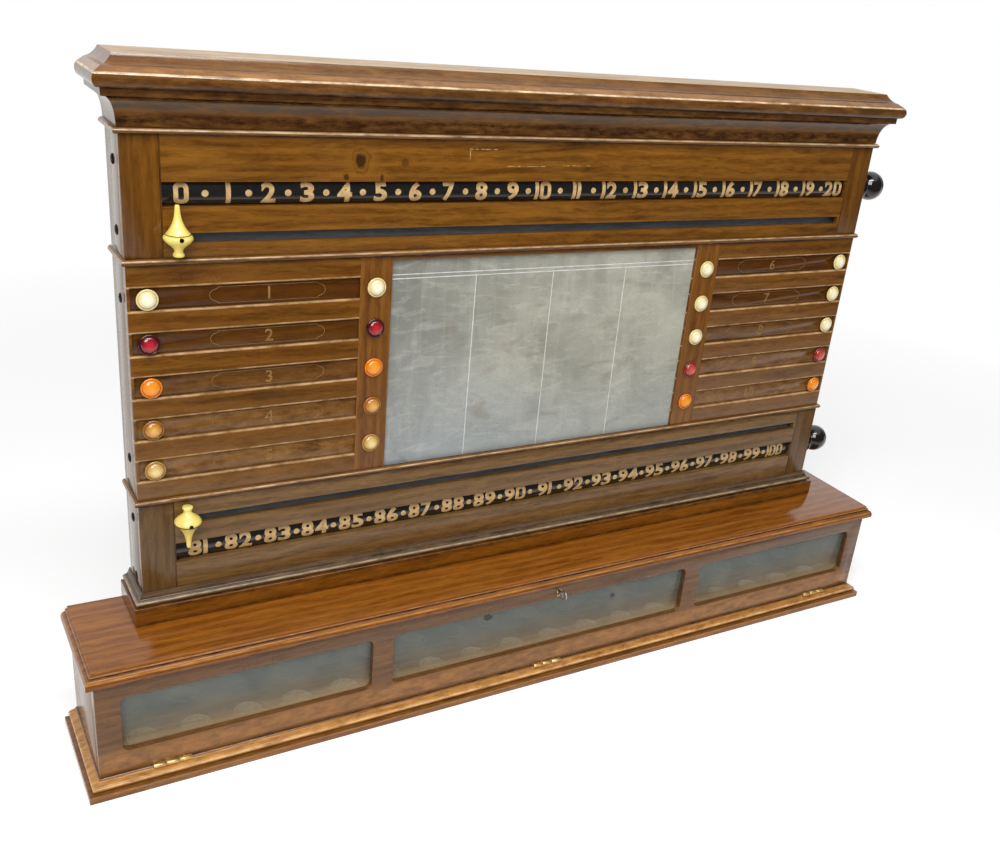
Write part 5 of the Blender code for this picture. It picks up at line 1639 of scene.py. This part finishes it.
class SCOREBOARD_OT_slate(bpy.types.Operator):
    """Set the slate with its white ruled lines"""

    bl_idname = "scoreboard.slate"
    bl_label = "Slate"

    def execute(self, context):
        _, number, fitting, _ = settings(context)
        softened("slate", 0.0009, "rubbed_slate", 3)
        low, high = span("slate")
        half, proud, inset = fitting.ruling / 2, number.paint, 0.0012
        upper_line, lower_line = 0.5641, 0.5592
        near, far = low.y - proud, low.y + proud
        lines = [
            block((low.x + inset, near, z - half), (high.x - inset, far, z + half))
            for z in (upper_line, lower_line)
        ]
        lines += [
            block((x - half, near, low.z + inset), (x + half, far, lower_line - 2 * half))
            for x in (-0.112, -0.002, 0.110)
        ]
        mesh = gathered(lines, "ruled_lines")
        settle("slate_ruled_lines", mesh, "ruled_white", "case")
        return {"FINISHED"}


class SCOREBOARD_OT_pointers(bpy.types.Operator):
    """Turn the two ivory pointers and put them on their slides"""

    bl_idname = "scoreboard.pointers"
    bl_label = "Pointers"

    shares = (
        (0.0, 1.0), (0.12, 0.995), (0.165, 0.97), (0.185, 0.9), (0.215, 0.82), (0.28, 0.73),
        (0.39, 0.64), (0.54, 0.555), (0.72, 0.48), (0.82, 0.445), (0.81, 0.43), (0.94, 0.405),
        (1.0, 0.37), (0.97, 0.33), (0.82, 0.275), (0.55, 0.215), (0.37, 0.165), (0.3, 0.125),
        (0.31, 0.085), (0.38, 0.055), (0.39, 0.02), (0.33, 0.0), (0.0, 0.0),
    )

    def execute(self, context):
        radius, height = 0.015, 0.053
        rings = flowing(list(self.shares[1:-1]), 4)
        outline = [(0, height), *((max(r, 0.02) * radius, h * height) for r, h in rings), (0, 0)]
        for name, way in (("upper", 1), ("lower", -1)):
            node_name = f"{name}_pointer"
            low, high = span(node_name)
            x, y = middle(node_name).x, low.y + radius
            foot = high.z - height if way == 1 else low.z + height
            shells = [
                turned_along(outline, 56, (0, 0, way), (x, y, foot)),
                *self.carriage(x, SLOT_Z[name]),
            ]
            settle(f"{name}_pointer_turned", gathered(shells, name), "ivory_gloss", node_name,
                   (node_name,), 50)
            eye = [(0, 0.0005), (0.0022, 0.0005), (0.0024, 0), (0.0022, -0.0015), (0, -0.0015)]
            belly, groove = foot + way * height * 0.375, foot + way * height * 0.436
            inner, outer, half = radius * 0.8, radius * 0.835, 0.0003
            line = [(inner, half), (outer, half), (outer, -half), (inner, -half), (inner, half)]
            marks = [
                turned_along(eye, 20, (0, -1, 0), (x, y - radius + 0.0004, belly)),
                turned_along(line, 56, (0, 0, way), (x, y, groove)),
            ]
            settle(f"{name}_pointer_eye", gathered(marks, "eye"), "dark_steel", node_name,
                   (), 40)
        return {"FINISHED"}

    def carriage(self, x, z):
        """The stem through the slot and the slide behind it."""
        front, back, radius = 0.012, 0.013, 0.004
        stem = [(0, front), (radius, front), (radius, -back), (0, -back)]
        return [
            turned_along(stem, 24, (0, -1, 0), (x, FACE_Y, z)),
            block((x - 0.012, FACE_Y + 0.0083, z - 0.009), (x + 0.012, FACE_Y + 0.0113, z + 0.009)),
        ]


class SCOREBOARD_OT_ball_box(bpy.types.Operator):
    """Glaze the door and lay the tray with its cups"""

    bl_idname = "scoreboard.ball_box"
    bl_label = "Glass and tray"

    def execute(self, context):
        look = settings(context)[0]
        for name in ("left", "middle", "right"):
            softened(f"door_glass_{name}", 0.0003, "dusty_glass")
        softened("ball_tray", 0.0004, "tray_wood")
        self.cups(look.cup_radius)
        return {"FINISHED"}

    def cups(self, radius):
        """Two rows of shallow thin-walled cups on the tray."""
        low, high = span("ball_tray")
        depth, wall, rim, steps = 0.0043, 0.0002, 0.0003, 12
        bowl = arc((0, 0), (radius * 0.93, depth), 270, 352, steps)
        bowl = [(0, -depth), *bowl[1:]]
        profile = [
            *[(r, h + wall) for r, h in bowl],
            (radius * 0.98, 0.0006), (radius * 1.02, wall),
            *reversed([(r + (rim if r else 0), h - wall) for r, h in bowl]),
        ]
        cup = in_scene("cup", to_mesh(turned(profile, 40), "cup"))
        pitch, count = 0.063, 18
        front, back = high.y - (high.y - low.y) * 0.8, high.y - (high.y - low.y) * 0.25
        points = [
            ((i - (count - 1) / 2) * pitch, y, high.z + wall)
            for y in (front, back) for i in range(count)
        ]
        fitted("tray_cups", cup, points, (0, 0, 0), "cup_cream")
        bpy.data.objects.remove(cup)


class SCOREBOARD_OT_metalwork(bpy.types.Operator):
    """Fit the hinges, the lock with its key, and the screws"""

    bl_idname = "scoreboard.metalwork"
    bl_label = "Hinges, lock, key and screws"

    def execute(self, context):
        for name in HINGES:
            for leaf in ("base", "door"):
                softened(f"hinge_{name}_{leaf}_leaf", 0.0001, "worn_brass", 1)
        softened("lock_case", 0.0003, "dark_steel")
        softened("lock_bolt", 0.0003, "worn_brass")
        self.key()
        self.escutcheon()
        self.screws()
        return {"FINISHED"}

    def key(self):
        """The key with its ring, its turned shank and its bit."""
        low, high = span("key")
        x, z = middle("key").x, high.z - KEY_DROP
        bow, thick, bit = 0.0052, 0.0013, 0.0008
        bow_y = low.y + bow + thick
        ring = []
        for i in range(40):
            turn = 2 * math.pi * i / 40
            out = Vector((0, math.cos(turn), math.sin(turn)))
            ring.append([
                Vector((x, bow_y, z)) + out * (bow + thick * math.cos(t) * 0.9)
                + Vector((thick * math.sin(t), 0, 0))
                for t in (2 * math.pi * k / 14 for k in range(14))
            ])
        start = bow_y + bow
        shank = [
            (0, 0), (0.0019, 0.0002), (0.0024, 0.0012), (0.0019, 0.0022), (0.0016, 0.0026),
            (0.0016, high.y - start - 0.0004), (0.0012, high.y - start), (0, high.y - start),
        ]
        shells = [
            hooped(ring),
            turned_along(shank, 32, (0, 1, 0), (x, start - 0.0006, z)),
            block((x - bit, high.y - 0.0053, z - 0.0065), (x + bit, high.y - 0.0009, z)),
        ]
        mesh = gathered(shells, "key", clean=True)
        settle("key_forged", mesh, "bright_steel", "key", ("key",), 35)

    def escutcheon(self):
        """The thin brass lining of the keyhole."""
        x, z = middle("key").x, span("key")[1].z - KEY_DROP
        front = span("door_frame")[0].y
        near, far = front - 0.0002, front + 0.0004
        round_part = arc((0, 0), (0.0026, 0.0026), -65, 245, 24)
        inner = [*round_part, (-0.0014, -0.0072), (0.0014, -0.0072)]
        outer = [(a * 1.35, b * 1.35) for a, b in round_part] + [(-0.0023, -0.0082), (0.0023, -0.0082)]
        sections = [
            [(x + a, far, z + b), (x + a, near, z + b), (x + c, near, z + d), (x + c, far, z + d)]
            for (a, b), (c, d) in zip(inner, outer)
        ]
        mesh = to_mesh(hooped(sections), "escutcheon")
        settle("keyhole_lining", mesh, "worn_brass", "ball_box_door", (), 35)

    def slotted_head(self, radius):
        """A slotted screw head, its face towards +Z."""
        rise, under = radius * 0.32, 0.0008
        profile = [(0, rise), *arc((0, 0), (radius, rise), 80, 0, 8), (radius * 0.9, -under),
                   (0, -under)]
        half, length = radius * 0.13, radius * 1.2
        slot = block((-length, -half, rise * 0.4), (length, half, rise * 2))
        return in_scene("screw", carved(to_mesh(turned(profile, 28), "screw"), [slot]))

    def screws(self):
        """Slotted screws down both sides of the board and in the wells of its back."""
        large = self.slotted_head(0.0055)
        quarter = math.pi / 2
        heights = (0.689, 0.618, 0.546, 0.362, 0.287, 0.210)
        inset = 0.032
        for side, sign in SIDES:
            edge = span(f"board_{side}_side")[0 if sign < 0 else 1].x
            points = [(edge, BACK_Y - inset, z) for z in heights]
            fitted(f"screws_{side}", large, points, (0, sign * quarter, 0), "blackened_iron",
                   math.pi, 3 + sign)
        points = [(x, BACK_Y - SCREW_SINK, z) for x, z in BACK_SCREWS]
        fitted("screws_back", large, points, (-quarter, 0, 0), "dark_steel", math.pi, 9)
        bpy.data.objects.remove(large)


class SCOREBOARD_OT_stage(bpy.types.Operator):
    """Lay the floor, set the lamps and stand the camera"""

    bl_idname = "scoreboard.stage"
    bl_label = "Floor, light and camera"

    def execute(self, context):
        stage = settings(context)[3]
        self.floor()
        self.room(stage.sky)
        power = stage.lamp_power
        self.lamp("front_lamp", (-1.7, -2.4, 2.5), (0, 0, 0.4), (1.8, 1.8), power)
        self.lamp("top_lamp", (-0.35, -0.95, 2.3), (0, 0, 0.45), (1.5, 0.3), power * 0.28)
        self.camera(context.scene, stage.focal_length)
        context.scene.view_settings.view_transform = "Standard"
        return {"FINISHED"}

    def floor(self):
        """A white floor that keeps the shadow and fades into the white room."""
        mesh = bpy.data.meshes.new("floor")
        reach = 9
        corners = [(-reach, -reach, 0), (reach, -reach, 0), (reach, reach, 0), (-reach, reach, 0)]
        mesh.from_pydata(corners, [], [(0, 1, 2, 3)])
        material = bpy.data.materials.new("floor_white")
        material.use_nodes = True
        tree = material.node_tree
        tree.nodes.clear()
        path = node(tree, "ShaderNodeLightPath").outputs
        place = node(tree, "ShaderNodeTexCoord").outputs["Object"]
        matt = node(tree, "ShaderNodeBsdfDiffuse", {"Color": (0.86, 0.86, 0.86, 1)}).outputs[0]
        lift = levels(tree, path["Is Camera Ray"], 0, 1, 0.0, 0.36)
        veil = node(tree, "ShaderNodeEmission", {"Color": (1, 1, 1, 1), "Strength": lift})
        lit = node(tree, "ShaderNodeAddShader", {0: matt, 1: veil.outputs[0]}).outputs[0]
        far = vectors(tree, "LENGTH", place)
        white = node(tree, "ShaderNodeEmission", {"Color": (1, 1, 1, 1), "Strength": 1.0})
        fade = times(tree, levels(tree, far, 0.9, 2.2), path["Is Camera Ray"])
        feeds = {0: fade, 1: lit, 2: white.outputs[0]}
        plain = node(tree, "ShaderNodeMixShader", feeds).outputs[0]
        bright = levels(tree, split(tree, place)[1], -1.2, -0.3, 0.1, 1.0)
        seen = node(tree, "ShaderNodeEmission", {"Color": (1, 0.98, 0.95, 1), "Strength": bright})
        feeds = {0: path["Is Glossy Ray"], 1: plain, 2: seen.outputs[0]}
        choice = node(tree, "ShaderNodeMixShader", feeds).outputs[0]
        node(tree, "ShaderNodeOutputMaterial", {"Surface": choice})
        mesh.materials.append(material)
        in_scene("floor", mesh)

    def room(self, strength):
        """White for the camera; the gloss sees a white wall behind and a dim room in front."""
        world = bpy.context.scene.world or bpy.data.worlds.new("room")
        bpy.context.scene.world = world
        world.use_nodes = True
        tree = world.node_tree
        tree.nodes.clear()
        path = node(tree, "ShaderNodeLightPath").outputs
        direction = node(tree, "ShaderNodeTexCoord").outputs["Generated"]
        parts = split(tree, direction)
        behind = levels(tree, parts[1], -0.05, 0.4)
        above = levels(tree, parts[2], 0.6, 0.8, 0, 0.9)
        bright = levels(tree, maths(tree, "MAXIMUM", behind, above), 0, 1, 0.1, 1.0)
        feeds = {0: path["Is Glossy Ray"], 2: strength, 3: bright}
        chosen = node(tree, "ShaderNodeMix", feeds, data_type="FLOAT").outputs[0]
        direct = maths(tree, "MAXIMUM", path["Is Camera Ray"], path["Is Transmission Ray"])
        feeds = {0: direct, 2: chosen, 3: 1.0}
        seen = node(tree, "ShaderNodeMix", feeds, data_type="FLOAT").outputs[0]
        feeds = {"Color": (1, 1, 1, 1), "Strength": seen}
        back = node(tree, "ShaderNodeBackground", feeds).outputs[0]
        node(tree, "ShaderNodeOutputWorld", {"Surface": back})

    def lamp(self, name, place, target, size, power):
        """A soft oblong lamp aimed at a target."""
        data = bpy.data.lights.new(name, "AREA")
        data.shape = "RECTANGLE"
        data.size, data.size_y = size
        data.energy = power
        obj = in_scene(name, data)
        obj.location = place
        aim = Vector(target) - Vector(place)
        obj.rotation_euler = aim.to_track_quat("-Z", "Y").to_euler()

    def camera(self, scene, focal_length):
        """The camera where the photograph was taken from, with its tilt and framing."""
        azimuth, elevation, roll = -0.584513, -0.41866, 0.111859
        place = (-0.7352, -1.1089, 0.9022)
        forward = Vector((
            math.sin(-azimuth) * math.cos(elevation), math.cos(azimuth) * math.cos(elevation),
            math.sin(elevation),
        ))
        right = forward.cross(Vector((0, 0, 1))).normalized()
        up = right.cross(forward)
        across = right * math.cos(roll) + up * math.sin(roll)
        upward = up * math.cos(roll) - right * math.sin(roll)
        data = bpy.data.cameras.new("camera")
        data.sensor_fit = "HORIZONTAL"
        data.sensor_width = 36
        data.lens = focal_length
        data.shift_x, data.shift_y = -0.0435, 0.0352
        data.clip_start = 0.05
        obj = in_scene("camera", data)
        turn = Matrix((across, upward, -forward)).transposed().to_4x4()
        obj.matrix_world = Matrix.Translation(place) @ turn
        scene.camera = obj


OPERATORS = (
    SCOREBOARD_OT_finishes,
    SCOREBOARD_OT_woodwork,
    SCOREBOARD_OT_mouldings,
    SCOREBOARD_OT_rollers,
    SCOREBOARD_OT_slats,
    SCOREBOARD_OT_knobs,
    SCOREBOARD_OT_slate,
    SCOREBOARD_OT_pointers,
    SCOREBOARD_OT_ball_box,
    SCOREBOARD_OT_metalwork,
    SCOREBOARD_OT_stage,
)


class SCOREBOARD_PT_panel(bpy.types.Panel):
    """The making of the scoreboard, step by step"""

    bl_idname = "SCOREBOARD_PT_panel"
    bl_label = "Billiard scoreboard"
    bl_space_type = "VIEW_3D"
    bl_region_type = "UI"
    bl_category = "Scoreboard"

    def draw(self, context):
        for group in settings(context):
            box = self.layout.box()
            for name in group.__annotations__:
                box.prop(group, name)
        for operator in OPERATORS:
            self.layout.operator(operator.bl_idname)


LOOKS = {
    "wood_look": WoodSettings,
    "number_look": NumberSettings,
    "fitting_look": FittingSettings,
    "stage_look": StageSettings,
}


def register():
    """Makes the settings, operators and panel known."""
    for kind in (*LOOKS.values(), *OPERATORS, SCOREBOARD_PT_panel):
        bpy.utils.register_class(kind)
    for name, kind in LOOKS.items():
        setattr(bpy.types.Scene, name, bpy.props.PointerProperty(type=kind))


def unregister():
    """Takes them away again, in reverse order."""
    for name in LOOKS:
        delattr(bpy.types.Scene, name)
    for kind in reversed((*LOOKS.values(), *OPERATORS, SCOREBOARD_PT_panel)):
        bpy.utils.unregister_class(kind)


def main():
    """Makes every piece in order."""
    register()
    for operator in OPERATORS:
        getattr(bpy.ops.scoreboard, operator.bl_idname.split(".")[1])()


if __name__ == "__main__":
    main()
